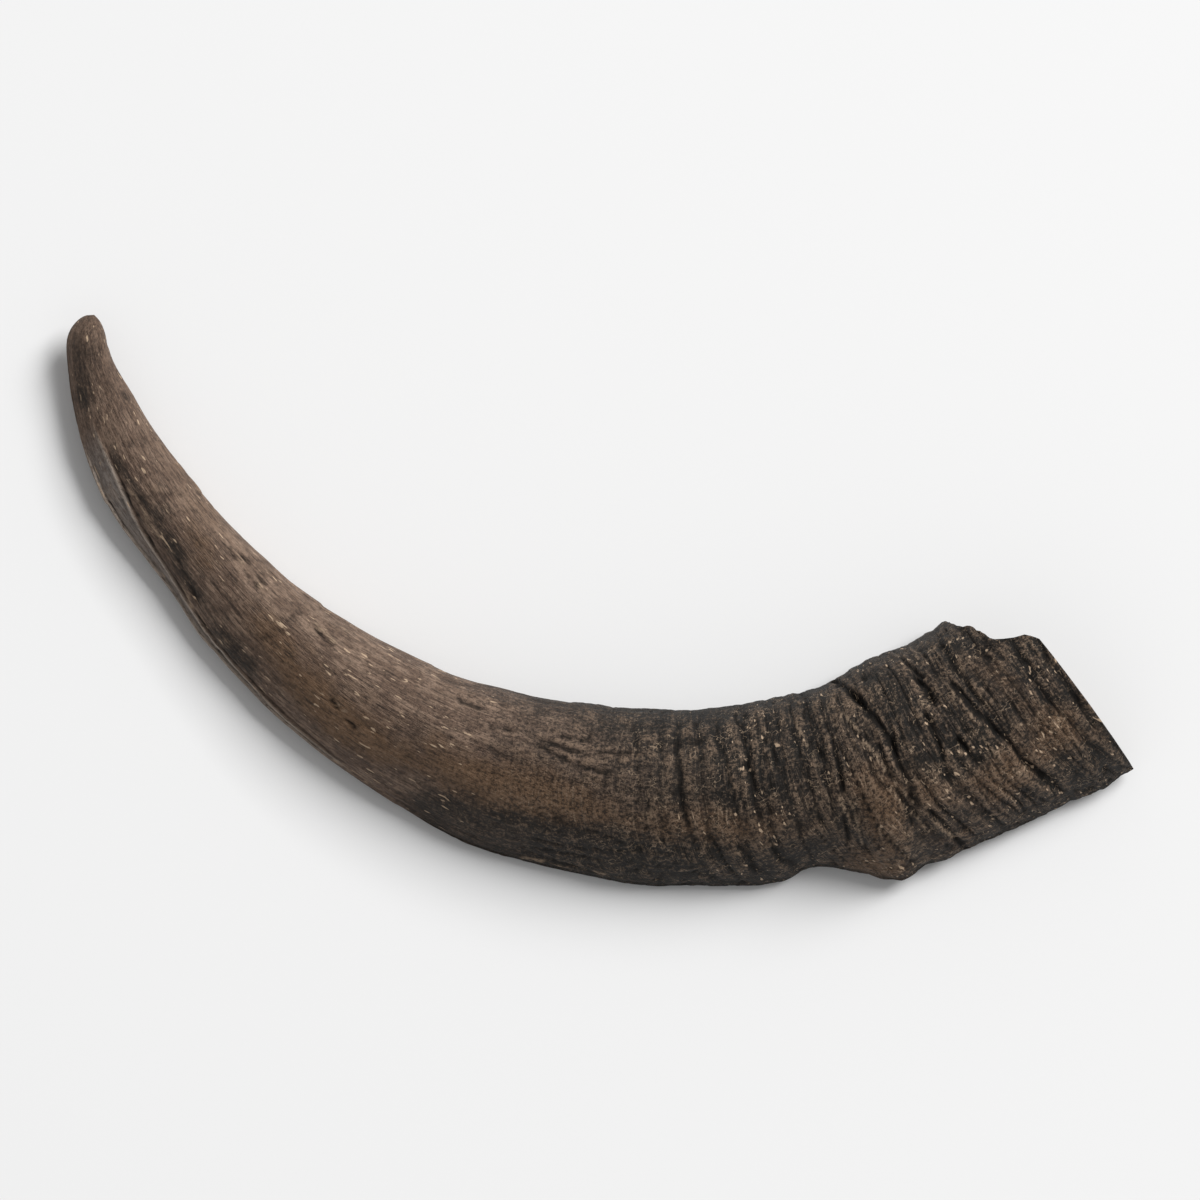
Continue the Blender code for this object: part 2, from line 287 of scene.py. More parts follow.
@dataclass(frozen=True)
class Section:
    """The horn's cross section: a drop shape with a keel, a crown and a flat inner side."""

    depths: Track = Track(
        (
            (0.000, 0.0088), (0.009, 0.0107), (0.025, 0.0148), (0.050, 0.0196), (0.080, 0.0236),
            (0.120, 0.0306), (0.160, 0.0374), (0.200, 0.0400), (0.220, 0.0410), (0.235, 0.0450),
            (0.255, 0.0480), (0.283, 0.0484),
        )
    )
    crown_shares: Track = Track(((0.000, 0.44), (0.060, 0.45), (0.150, 0.46), (0.283, 0.47)))
    sole_shares: Track = Track(((0.000, 0.32), (0.060, 0.26), (0.150, 0.20), (0.283, 0.18)))
    twists: Track = Track(
        (
            (0.000, 20.0), (0.050, 15.0), (0.110, 4.0), (0.165, -5.0), (0.215, -2.5), (0.250, 1.0),
            (0.283, 2.0),
        )
    )
    keel_sharpness: float = 1.7
    sole_flatness: float = 0.8
    inside_edge_level: float = 0.25
    keel_level: float = 0.62
    tip_radius: float = 0.0060
    tip_lean: float = 0.00075
    tip_reach: float = 0.00095
    keel_forms: Bumps = Bumps(
        (
            (0.0050, -0.0008, 0.008), (0.0590, -0.0019, 0.014), (0.1430, 0.0013, 0.012),
            (0.1780, 0.0009, 0.013), (0.2140, -0.0027, 0.0058), (0.2285, 0.0031, 0.0048),
            (0.2385, 0.0009, 0.0028), (0.2740, 0.0010, 0.005),
        )
    )
    keel_gather: float = 4.0
    inside_forms: Bumps = Bumps(
        (
            (0.0030, -0.0005, 0.0045), (0.0125, -0.0005, 0.0055), (0.0440, 0.0007, 0.010),
            (0.1500, -0.0006, 0.014), (0.2120, 0.0018, 0.016), (0.2380, 0.0013, 0.012),
            (0.2640, 0.0009, 0.007),
        )
    )
    inside_gather: float = 2.0
    side_wall: float = 0.0032
    keel_wall: float = 0.0070
    inside_wall: float = 0.0034
    mouth_station: float = 0.2784
    hollow_depth: float = 0.150

    def before_cap(self, stations: Array) -> Array:
        """How much of the tip's rounding still lies ahead: 1 at the tip, 0 where the cap ends."""
        return np.clip(1.0 - stations / self.tip_radius, 0.0, 1.0)

    def _side_height(self, angles: Array) -> Array:
        """Height of the outer side as a share of its crown.

        Args:
            angles: Angle of each point.

        Returns:
            The share, from 0 to 1.
        """
        half = np.radians(angles) / 2.0
        crown = math.atan(math.sqrt(self.keel_sharpness))
        highest = math.sin(crown) ** self.keel_sharpness * math.cos(crown)
        return np.abs(np.sin(half)) ** self.keel_sharpness * np.abs(np.cos(half)) / highest

    def radius(self, stations: Array) -> Array:
        """Mean radius of the section."""
        shares = 1.0 + self.crown_shares.at(stations) + self.sole_shares.at(stations)
        return self.depths.at(stations) * np.sqrt(1.0 - self.before_cap(stations) ** 2) * shares / 4.0

    def outline(
        self, stations: Array, angles: Array, skin: Skin, capped: bool = True
    ) -> tuple[Array, Array]:
        """Place points on the section.

        Args:
            stations: Station of each point.
            angles: Angle of each point.
            skin: Which of the two skins is wanted.
            capped: Whether the tip is rounded off.

        Returns:
            Distance of each point towards the keel, and its height over the middle line.
        """
        before_cap = self.before_cap(stations) * float(capped)
        half = self.depths.at(stations) / 2.0 * np.sqrt(1.0 - before_cap**2)
        crown = 2.0 * half * self.crown_shares.at(stations)
        sole = 2.0 * half * self.sole_shares.at(stations)
        keel_reach = half
        inside_reach = half
        if skin is Skin.HOLLOW:
            deep = np.clip((self.mouth_station - stations) / self.hollow_depth, 0.0, 1.0)
            narrowing = np.sqrt(1.0 - deep**2)
            keel_reach = (half - self.keel_wall) * narrowing
            inside_reach = (half - self.inside_wall) * narrowing
            crown = (crown - self.side_wall) * narrowing
            sole = (sole - self.side_wall) * narrowing
        turns = np.radians(angles)
        at_keel = keel_share(angles)
        across = (keel_reach - inside_reach) / 2.0 + (keel_reach + inside_reach) / 2.0 * np.cos(turns)
        if skin is Skin.OUTSIDE:
            across = across + self.keel_forms.at(stations) * at_keel**self.keel_gather
            across = across - self.inside_forms.at(stations) * (1.0 - at_keel) ** self.inside_gather
        level = self.inside_edge_level + (self.keel_level - self.inside_edge_level) * at_keel
        rise = (crown + level * sole) * self._side_height(angles)
        fall = (1.0 - level) * sole * np.abs(np.sin(turns)) ** self.sole_flatness
        up = np.where(np.sin(turns) >= 0.0, rise, -fall) - level * sole
        twist = np.radians(self.twists.at(stations))
        lean = self.tip_lean * before_cap
        towards_keel = across * np.cos(twist) - up * np.sin(twist) - lean
        return towards_keel, across * np.sin(twist) + up * np.cos(twist)


class MiddleLine:
    """The curve that the sections stand on, worked out once at close steps."""

    BEARINGS = Track(
        (
            (0.000, -101.3), (0.009, -76.4), (0.025, -68.0), (0.050, -53.0), (0.080, -44.0),
            (0.120, -28.0), (0.160, -12.0), (0.200, 3.5), (0.220, 12.0), (0.235, 21.0), (0.255, 27.0),
            (0.283, 27.5),
        )
    )
    GAPS = Track(
        (
            (0.000, 0.0055), (0.022, 0.0022), (0.055, 0.0000), (0.110, 0.0006), (0.165, 0.0000),
            (0.210, 0.0010), (0.229, 0.0022), (0.248, 0.0009), (0.270, 0.0000), (0.290, 0.0000),
        )
    )
    STEP = 0.0005
    END = 0.300

    def __init__(self, section: Section) -> None:
        """Work out the line.

        Args:
            section: The cross section that stands on the line.
        """
        self.section = section
        self.stations = np.arange(0.0, self.END, self.STEP)
        bearings = np.radians(self.BEARINGS.at(self.stations))
        self.along = np.stack((np.cos(bearings), np.sin(bearings)), axis=1)
        moves = (self.along[1:] + self.along[:-1]) / 2.0 * self.STEP
        self.plan = np.concatenate((np.zeros((1, 2)), np.cumsum(moves, axis=0)))
        rows, angles = np.meshgrid(self.stations, np.arange(0.0, 360.0, 5.0), indexing="ij")
        lowest = section.outline(rows, angles, Skin.OUTSIDE, capped=False)[1].min(axis=1)
        self.height = self.GAPS.at(self.stations) - lowest

    def read(self, values: Array, stations: Array | float) -> Array:
        """Value of one of the line's columns at any stations."""
        return np.interp(stations, self.stations, values)

    def place(self, stations: Array, angles: Array, skin: Skin) -> Array:
        """Place points on the horn's smooth surface.

        Args:
            stations: Station of each point.
            angles: Angle of each point.
            skin: Which of the two skins is wanted.

        Returns:
            The points, the last axis being X, Y and Z.
        """
        across, up = self.section.outline(stations, angles, skin)
        heading_x = self.read(self.along[:, 0], stations)
        heading_y = self.read(self.along[:, 1], stations)
        reach = self.section.tip_reach * self.section.before_cap(stations)
        x = self.read(self.plan[:, 0], stations) + across * heading_y - reach * heading_x
        y = self.read(self.plan[:, 1], stations) - across * heading_x - reach * heading_y
        z = self.read(self.height, stations) + up
        return np.stack((x, y, z), axis=-1)


@dataclass(frozen=True)
class GrowthRings:
    """Rings across the horn, which gather depth towards the base and sweep along the keel."""

    spacing: float = 0.0056
    depth: float = 0.00034
    unevenness: float = 0.75
    edge_strength: float = 0.40
    inside_fade: float = 0.12
    keel_fade: float = 0.90
    patch_size: float = 0.011
    ring_range: Pair = (0.1, 2.0)
    groove_range: Pair = (0.3, 1.4)
    drift: float = 0.0011
    drift_spacing: float = 0.031
    start: float = 0.135
    full: float = 0.235
    sweep: float = 0.010
    wander: float = 0.0006
    wander_size: float = 0.008
    grooves: Bumps = Bumps(
        (
            (0.1850, 0.00010, 0.0009), (0.2010, 0.00030, 0.0009), (0.2170, 0.00040, 0.0009),
            (0.2310, 0.00060, 0.0014), (0.2490, 0.00045, 0.0012), (0.2570, 0.00040, 0.0010),
        )
    )

    def ring_station(self, stations: Array, angles: Array, straight: Array) -> Array:
        """Station at which each point's ring meets the edge inside the curve."""
        wander = self.wander * Noise(11).at(straight / self.wander_size, 2)
        return stations - self.sweep * keel_share(angles) ** 3 + wander

    def edge_fade(self, angles: Array) -> Array:
        """Lower strength of the rings on the keel and on the edge inside the curve."""
        inner = between_edges(angles, self.inside_fade, self.keel_fade)
        return self.edge_strength + (1.0 - self.edge_strength) * inner

    def relief(self, places: Places) -> Array:
        """Height of the rings and grooves over the smooth surface.

        Args:
            places: Where to read it.

        Returns:
            The height at each place.
        """
        ring_station = places.banded[..., 0]
        drift = self.drift * np.sin(2.0 * math.pi * ring_station / self.drift_spacing)
        phase = 2.0 * math.pi * (ring_station + drift) / self.spacing
        valleys = (0.5 + 0.5 * np.cos(phase)) ** 2
        patchy = 1.0 + self.unevenness * Noise(12).at(places.straight / self.patch_size, 2)
        strength = ease(places.stations, self.start, self.full) * np.clip(patchy, *self.ring_range)
        grooves = self.grooves.at(ring_station) * np.clip(patchy, *self.groove_range)
        return (self.depth * strength * (0.4 - valleys) - grooves) * self.edge_fade(places.angles)


@dataclass(frozen=True)
class LongForms:
    """The crease along the outer side, and the narrow flank by the keel on the tip half."""

    crease_angle: float = 132.0
    crease_half_width: float = 5.0
    crease_depth: float = 0.0006
    crease_span: Pair = (0.118, 0.205)
    crease_sway: float = 3.0
    sway_size: float = 0.012
    crease_gaps: tuple[float, float, float] = (0.007, 0.004, 0.004)
    gap_span: Pair = (-0.2, 0.5)
    crease_least: float = 0.35
    flank_angles: Track = Track(
        (
            (0.018, 46.0), (0.035, 51.0), (0.045, 43.0), (0.055, 34.0), (0.065, 28.0), (0.080, 23.0),
            (0.100, 19.0), (0.118, 16.0),
        )
    )
    flank_sink: float = 0.0005
    flank_start: Pair = (6.0, 12.0)
    flank_end: Pair = (-3.0, 1.0)
    flank_line_depth: float = 0.0004
    flank_line_offset: float = 4.0
    flank_line_half_width: float = 3.5
    ridge_height: float = 0.0004
    ridge_sway: float = 1.2
    ridge_offset: float = -2.0
    ridge_half_width: float = 2.2
    flank_span: Pair = (0.022, 0.118)
    fade: float = 0.012

    def _between(self, stations: Array, span: Pair) -> Array:
        """1 inside a span of stations, fading to 0 at its ends."""
        start = ease(stations, span[0], span[0] + self.fade)
        return start * (1.0 - ease(stations, span[1] - self.fade, span[1]))

    def flank(self, places: Places) -> Array:
        """1 on the flank beside the keel, 0 elsewhere.

        Args:
            places: Where to read it.

        Returns:
            The share of each place, from 0 to 1.
        """
        edge = self.flank_angles.at(places.stations)
        past_keel = ease(places.angles, *self.flank_start)
        past_edge = ease(places.angles - edge, *self.flank_end)
        return past_keel * (1.0 - past_edge) * self._between(places.stations, self.flank_span)

    def ridge(self, places: Places) -> Array:
        """1 on the thin ridge that bounds the flank, 0 elsewhere.

        Args:
            places: Where to read it.

        Returns:
            The share of each place, from 0 to 1.
        """
        sway = self.ridge_sway * Noise(22).at(places.straight / self.sway_size, 2)
        middle = self.flank_angles.at(places.stations) + self.ridge_offset
        line = bump(places.angles + sway, middle, self.ridge_half_width)
        return line * self._between(places.stations, self.flank_span)

    def relief(self, places: Places) -> Array:
        """Height of the crease, the flank and its ridge over the smooth surface.

        Args:
            places: Where to read it.

        Returns:
            The height at each place.
        """
        sway = self.crease_sway * Noise(21).at(places.straight / self.sway_size, 2)
        crease = bump(places.angles + sway, self.crease_angle, self.crease_half_width)
        gaps = ease(Noise(23).at(places.straight / np.array(self.crease_gaps), 2), *self.gap_span)
        broken = self.crease_least + (1.0 - self.crease_least) * gaps
        crease = self.crease_depth * crease * broken * self._between(places.stations, self.crease_span)
        edge = self.flank_angles.at(places.stations) + self.flank_line_offset
        line = bump(places.angles + sway / 2.0, edge, self.flank_line_half_width)
        line = self.flank_line_depth * line * self._between(places.stations, self.flank_span)
        return self.ridge_height * self.ridge(places) - crease - line - self.flank_sink * self.flank(places)


@dataclass(frozen=True)
class Weathering:
    """Fine relief: dents, fibres along the tip half, ridgelets near the base, cracks and chips."""

    dent_size: float = 0.016
    dent_depth: float = 0.00030
    lump_size: float = 0.0042
    lump_depth: float = 0.00010
    fibre_length: float = 0.016
    fibre_width: float = 0.0013
    fibre_depth: float = 0.00012
    ridgelet_width: float = 0.0021
    ridgelet_length: float = 0.0130
    ridgelet_depth: float = 0.00034
    pore_size: float = 0.0016
    pore_depth: float = 0.00022
    crack_length: float = 0.030
    crack_spacing: float = 0.0048
    crack_depth: float = 0.00028
    chip_size: float = 0.0030
    chip_depth: float = 0.00026
    rim_share: float = 0.30
    inside_fade: float = 0.10
    keel_fade: float = 0.92
    base_span: Pair = (0.120, 0.215)
    tip_span: Pair = (0.130, 0.230)
    cap_span: Pair = (0.0, 0.006)
    furrow_span: Pair = (0.70, 1.0)
    pore_span: Pair = (0.35, 0.9)
    crack_line_span: Pair = (0.93, 1.0)
    crack_patch_size: float = 0.020
    crack_patch_span: Pair = (0.05, 0.35)
    crack_start: Pair = (0.030, 0.060)
    chip_half_angle: float = 16.0
    chip_span: Pair = (0.1, 0.9)

    def relief(self, places: Places) -> Array:
        """Height of the fine forms over the surface.

        Args:
            places: Where to read it.

        Returns:
            The height at each place.
        """
        stations = places.stations
        angles = places.angles
        straight = places.straight
        base = ease(stations, *self.base_span)
        tip = 1.0 - ease(stations, *self.tip_span)
        dents = self.dent_depth * Noise(31).at(straight / self.dent_size, 2)
        lumps = self.lump_depth * (0.5 + base) * Noise(32).at(straight / self.lump_size, 2)
        along = straight / np.array((self.fibre_length, self.fibre_width, self.fibre_width))
        fibres = self.fibre_depth * (0.35 + tip) * Noise(33).at(along, 2)
        across = places.banded / np.array((self.ridgelet_width, self.ridgelet_length, self.ridgelet_length))
        furrows = ease(1.0 - np.abs(Noise(34).at(across, 2)), *self.furrow_span)
        ridgelets = self.ridgelet_depth * (0.10 + base) * (0.4 - furrows)
        inner = between_edges(angles, self.inside_fade, self.keel_fade)
        ridgelets = ridgelets * (self.rim_share + (1.0 - self.rim_share) * inner)
        holes = ease(Noise(38).at(straight / self.pore_size, 2), *self.pore_span)
        pores = -self.pore_depth * holes * (0.4 + 0.6 * base)
        lines = straight / np.array((self.crack_length, self.crack_spacing, self.crack_spacing))
        thin = ease(1.0 - np.abs(Noise(35).at(lines)), *self.crack_line_span)
        some = ease(Noise(36).at(straight / self.crack_patch_size), *self.crack_patch_span)
        cracks = self.crack_depth * thin * some * (0.25 + tip) * ease(stations, *self.crack_start)
        edge = bump(np.abs((angles + 180.0) % 360.0 - 180.0), 0.0, self.chip_half_angle)
        bites = ease(Noise(37).at(straight / self.chip_size, 2), *self.chip_span)
        chips = self.chip_depth * edge * bites * (0.3 + 0.7 * base)
        total = dents + lumps + fibres + ridgelets + pores - cracks - chips
        return total * ease(stations, *self.cap_span)


@dataclass(frozen=True)
class Stroke:
    """A groove or pale line along a few places, each a station and a share of the way to the keel."""

    path: tuple[Pair, ...]
    relief: float
    half_width: float

    def distance(self, along: Array, across: Array, section: Section) -> Array:
        """How far each point is from the stroke.

        Args:
            along: Station of each point.
            across: Each point's distance from the edge inside the curve.
            section: The horn's cross section.

        Returns:
            The distance over the surface.
        """
        nearest = np.full_like(along, 1.0)
        for (s0, u0), (s1, u1) in itertools.pairwise(self.path):
            start = np.array((s0, u0 * float(section.depths.at(np.array(s0)))))
            move = np.array((s1, u1 * float(section.depths.at(np.array(s1))))) - start
            part = ((along - start[0]) * move[0] + (across - start[1]) * move[1]) / (move @ move)
            part = np.clip(part, 0.0, 1.0)
            away = np.hypot(along - start[0] - part * move[0], across - start[1] - part * move[1])
            nearest = np.minimum(nearest, away)
        return nearest


@dataclass(frozen=True)
class Strokes:
    """A set of strokes on the outer side, which wander a little from their paths."""

    rows: tuple[Stroke, ...]
    wander: float
    wander_size: float
    seeds: tuple[int, int]

    def relief(self, places: Places, section: Section) -> Array:
        """Read the whole set.

        Args:
            places: Where to read it.
            section: The horn's cross section.

        Returns:
            The greatest relief of any stroke at each place, 0 or more.
        """
        cells = places.straight / self.wander_size
        along = places.stations + self.wander * Noise(self.seeds[0]).at(cells, 2)
        across = keel_share(places.angles) * section.depths.at(places.stations)
        across = across + self.wander * Noise(self.seeds[1]).at(cells, 2)
        total = np.zeros_like(along)
        for stroke in self.rows:
            line = bump(stroke.distance(along, across, section), 0.0, stroke.half_width)
            total = np.maximum(total, stroke.relief * line)
        return total * on_outer_side(places.angles, STROKE_FADE)


@dataclass(frozen=True)
class Gashes:
    """The single grooves that stand out on the rounded outer side."""

    grooves: Strokes = Strokes((
        Stroke(((0.2275, 0.00), (0.2322, 0.14), (0.2342, 0.28), (0.2358, 0.41)), 0.00180, 0.00080),
        Stroke(((0.2358, 0.41), (0.2358, 0.54), (0.2357, 0.67)), 0.00140, 0.00070),
        Stroke(((0.2357, 0.67), (0.2385, 0.78), (0.2409, 0.90), (0.2426, 0.99)), 0.00110, 0.00055),
        Stroke(((0.2474, 0.17), (0.2489, 0.32)), 0.00110, 0.00080),
        Stroke(((0.2454, 0.35), (0.2458, 0.50), (0.2451, 0.58)), 0.00080, 0.00060),
        Stroke(((0.2540, 0.27), (0.2548, 0.35), (0.2565, 0.48), (0.2593, 0.64)), 0.00120, 0.00075),
        Stroke(((0.2495, 0.53), (0.2520, 0.64)), 0.00110, 0.00090),
        Stroke(((0.2365, 0.55), (0.2368, 0.70)), 0.00050, 0.00050),
        Stroke(((0.2593, 0.64), (0.2609, 0.75), (0.2658, 0.89)), 0.00060, 0.00045),
        Stroke(((0.2218, 0.12), (0.2224, 0.42), (0.2212, 0.60), (0.2209, 0.80)), 0.00065, 0.00050),
        Stroke(((0.2164, 0.22), (0.2194, 0.36)), 0.00070, 0.00065),
        Stroke(((0.2057, 0.28), (0.2065, 0.45)), 0.00060, 0.00060),
        Stroke(((0.2325, 0.38), (0.2330, 0.62), (0.2345, 0.80)), 0.00045, 0.00045),
        Stroke(((0.2455, 0.00), (0.2490, 0.18)), 0.00060, 0.00045),
        Stroke(
            ((0.1398, 0.24), (0.1502, 0.23), (0.1591, 0.26), (0.1675, 0.24), (0.1735, 0.22)),
            0.00044,
            0.00060,
        ),
        Stroke(((0.1512, 0.26), (0.1616, 0.35), (0.1690, 0.36)), 0.00040, 0.00055),
        Stroke(((0.1845, 0.18), (0.1864, 0.35), (0.1858, 0.51), (0.1868, 0.66)), 0.00008, 0.00060),
        Stroke(((0.1995, 0.04), (0.2012, 0.22), (0.2014, 0.32), (0.2030, 0.46)), 0.00055, 0.00050),
        Stroke(((0.2040, 0.07), (0.2061, 0.19)), 0.00050, 0.00045),
        Stroke(((0.2006, 0.30), (0.2060, 0.59)), 0.00045, 0.00050),
        Stroke(((0.2157, 0.18), (0.2182, 0.37)), 0.00045, 0.00045),
        Stroke(((0.0370, 0.80), (0.0420, 0.84), (0.0520, 0.89)), 0.00035, 0.00045),
        Stroke(((0.0640, 0.27), (0.0756, 0.35)), 0.00045, 0.00045),
        Stroke(((0.0670, 0.22), (0.0765, 0.29)), 0.00036, 0.00040),
        Stroke(((0.0593, 0.78), (0.0692, 0.89)), 0.00030, 0.00045),
        Stroke(((0.0911, 0.26), (0.0975, 0.29)), 0.00048, 0.00045),
        Stroke(((0.1049, 0.66), (0.1120, 0.72)), 0.00040, 0.00040),
    ), wander=0.0005, wander_size=0.0035, seeds=(71, 72))
    evenness: float = 0.75
    unevenness: float = 0.8
    uneven_size: float = 0.0030
    uneven_range: Pair = (0.05, 1.5)
    steps: tuple[tuple[float, float, float], ...] = (
        (0.0440, 0.00026, 1.0), (0.0835, 0.00028, 1.2), (0.1230, 0.00018, -0.8),
        (0.1850, 0.00014, -0.4),
    )
    step_length: float = 0.010
    step_slant: float = 0.009
    step_rise: float = 0.0006
    step_wander: float = 0.0012
    step_wander_size: float = 0.006

    def depth(self, places: Places, section: Section) -> Array:
        """How deep the gashes are.

        Args:
            places: Where to read it.
            section: The horn's cross section.

        Returns:
            The depth at each place, 0 or more.
        """
        patchy = Noise(73).at(places.straight / self.uneven_size, 2)
        uneven = np.clip(self.evenness + self.unevenness * patchy, *self.uneven_range)
        return self.grooves.relief(places, section) * uneven

    def step_relief(self, places: Places) -> Array:
        """Height of the low steps across the tip half, sharp on the tip's side.

        Args:
            places: Where to read it.

        Returns:
            The height at each place, 0 or less.
        """
        total = np.zeros_like(places.stations)
        wander = self.step_wander * Noise(74).at(places.straight / self.step_wander_size, 2)
        slant = self.step_slant * (keel_share(places.angles) - 0.5)
        for station, height, lean in self.steps:
            past = places.stations - station + slant * lean + wander
            fall = np.exp(-np.maximum(past, 0.0) / self.step_length)
            total = total - height * ease(past, 0.0, self.step_rise) * fall
        return total


@dataclass(frozen=True)
class PaleLines:
    """Thin pale lines that stand a little proud, their colour partly painted highlight on raised edges."""

    lines: Strokes = Strokes((
        Stroke(((0.0395, 0.75), (0.0460, 0.765), (0.0520, 0.78)), 0.00018, 0.00030),
        Stroke(((0.0634, 0.87), (0.0713, 0.96), (0.0762, 0.99)), 0.00018, 0.00030),
        Stroke(
            ((0.2274, 0.19), (0.2324, 0.50), (0.2349, 0.68), (0.2388, 0.84), (0.2418, 0.95)),
            0.00022,
            0.00035,
        ),
        Stroke(((0.2300, 0.46), (0.2330, 0.68), (0.2362, 0.84)), 0.00016, 0.00030),
        Stroke(((0.2210, 0.40), (0.2210, 0.57), (0.2218, 0.72)), 0.00018, 0.00035),
        Stroke(((0.2142, 0.13), (0.2170, 0.31), (0.2178, 0.40)), 0.00016, 0.00035),
        Stroke(((0.2524, 0.23), (0.2544, 0.40), (0.2556, 0.62), (0.2566, 0.71)), 0.00020, 0.00035),
        Stroke(((0.2556, 0.69), (0.2601, 0.80)), 0.00018, 0.00035),
        Stroke(((0.2274, 0.71), (0.2279, 0.84)), 0.00014, 0.00030),
        Stroke(((0.2295, 0.71), (0.2297, 0.85)), 0.00014, 0.00030),
        Stroke(((0.2732, 0.62), (0.2730, 0.77)), 0.00012, 0.00028),
        Stroke(((0.2755, 0.62), (0.2750, 0.76)), 0.00012, 0.00028),
        Stroke(((0.2672, 0.59), (0.2664, 0.72)), 0.00012, 0.00028),
        Stroke(
            ((0.2204, 0.12), (0.2215, 0.18), (0.2239, 0.21), (0.2259, 0.20), (0.2264, 0.16)),
            0.00014,
            0.00030,
        ),
        Stroke(((0.2498, 0.05), (0.2506, 0.16)), 0.00012, 0.00030),
        Stroke(((0.2231, 0.58), (0.2234, 0.84)), 0.00014, 0.00030),
        Stroke(((0.1540, 0.985), (0.1590, 0.970)), 0.00020, 0.00035),
        Stroke(((0.1609, 0.970), (0.1640, 0.965)), 0.00020, 0.00035),
        Stroke(((0.1690, 0.960), (0.1720, 0.955)), 0.00020, 0.00035),
        Stroke(((0.1860, 0.900), (0.1885, 0.895)), 0.00020, 0.00035),
        Stroke(((0.0640, 0.24), (0.0690, 0.27)), 0.00022, 0.00035),
        Stroke(((0.0735, 0.30), (0.0765, 0.32)), 0.00024, 0.00035),
        Stroke(((0.0911, 0.23), (0.0975, 0.26)), 0.00020, 0.00035),
        Stroke(((0.1049, 0.63), (0.1085, 0.66)), 0.00024, 0.00035),
        Stroke(((0.0960, 0.10), (0.0990, 0.12)), 0.00022, 0.00035),
    ), wander=0.00035, wander_size=0.0022, seeds=(75, 76))
    dash_size: float = 0.0014
    dash_span: Pair = (-0.55, 0.25)

    def heights(self, places: Places, section: Section) -> Array:
        """How proud the lines stand, broken into dashes.

        Args:
            places: Where to read it.
            section: The horn's cross section.

        Returns:
            The height at each place, 0 or more.
        """
        dashes = ease(Noise(77).at(places.straight / self.dash_size, 2), *self.dash_span)
        return self.lines.relief(places, section) * dashes


@dataclass(frozen=True)
class StainsAndShade:
    """Soft patches on the outer side: station, share of the way to the keel, half sizes, strength. Some of
    the darker ones are painted shade.
    """

    warm: tuple[Patch, ...] = (
        (0.2290, 0.66, 0.0050, 0.20, 1.0), (0.2640, 0.33, 0.0050, 0.15, 0.5),
        (0.2560, 0.76, 0.0080, 0.10, 0.9), (0.2710, 0.69, 0.0050, 0.13, 1.0),
        (0.2396, 0.67, 0.0040, 0.08, 0.7), (0.2245, 0.95, 0.0050, 0.08, 1.0),
        (0.1580, 0.60, 0.0160, 0.16, 0.9), (0.1380, 0.62, 0.0160, 0.20, 0.8),
        (0.1920, 0.66, 0.0160, 0.12, 0.7), (0.1120, 0.74, 0.0130, 0.12, 1.0),
        (0.0990, 0.62, 0.0140, 0.25, 0.7), (0.0460, 0.20, 0.0180, 0.30, 0.4),
        (0.0607, 0.51, 0.0080, 0.18, 0.5), (0.0834, 0.58, 0.0080, 0.18, 0.5),
        (0.2440, 0.97, 0.0040, 0.05, 0.6),
    )
    dark_and_shade: tuple[Patch, ...] = (
        # Painted shade: these first five patches darken the band beside the keel on the belly, where the
        # side turns from the light.
        (0.1400, 0.94, 0.0120, 0.16, 1.0), (0.1550, 0.92, 0.0140, 0.19, 1.3),
        (0.1720, 0.92, 0.0140, 0.19, 1.4), (0.1900, 0.93, 0.0140, 0.18, 1.3),
        (0.2080, 0.95, 0.0100, 0.16, 1.0), (0.2030, 0.38, 0.0120, 0.22, 1.0),
        (0.2190, 0.30, 0.0060, 0.16, 0.6), (0.2440, 0.42, 0.0070, 0.20, 1.0),
        (0.2480, 0.97, 0.0090, 0.10, 0.8), (0.2710, 0.91, 0.0120, 0.12, 1.7),
        (0.2590, 0.50, 0.0060, 0.16, 0.8), (0.2755, 0.44, 0.0050, 0.16, 1.5),
        (0.2740, 0.24, 0.0070, 0.18, 1.6), (0.2560, 0.12, 0.0070, 0.12, 0.8),
        (0.2527, 0.50, 0.0045, 0.16, 1.0), (0.2387, 0.17, 0.0060, 0.16, 1.0),
        # Painted shade: the three patches at shares 0.02 to 0.06 darken the side inside the curve that
        # faces the key light.
        (0.1450, 0.02, 0.0200, 0.14, 0.5), (0.1870, 0.04, 0.0200, 0.16, 0.8),
        (0.2150, 0.06, 0.0120, 0.14, 0.6), (0.0423, 0.70, 0.0040, 0.07, 0.7),
        (0.0479, 0.63, 0.0030, 0.14, 0.6), (0.0559, 0.73, 0.0060, 0.08, 1.0),
        (0.0650, 0.82, 0.0060, 0.06, 0.9), (0.0813, 0.88, 0.0080, 0.08, 1.1),
        (0.0333, 0.73, 0.0060, 0.09, 0.8), (0.0150, 0.78, 0.0080, 0.16, 0.4),
        (0.0173, 0.88, 0.0030, 0.06, 0.8), (0.0202, 0.24, 0.0016, 0.05, 0.8),
        (0.0080, 0.50, 0.0060, 0.50, 0.3),
    )

    def at(self, rows: tuple[Patch, ...], places: Places) -> Array:
        """Strength of one kind of patch on the outer side.

        Args:
            rows: The patches.
            places: Where to read it.

        Returns:
            The strength at each place, from 0 to 1.
        """
        total = np.zeros_like(places.stations)
        share = keel_share(places.angles)
        for station, at_share, half_length, half_width, strength in rows:
            patch = bump(places.stations, station, half_length) * bump(share, at_share, half_width)
            total = total + strength * patch
        return np.clip(total, 0.0, 1.0) * on_outer_side(places.angles, PATCH_FADE)


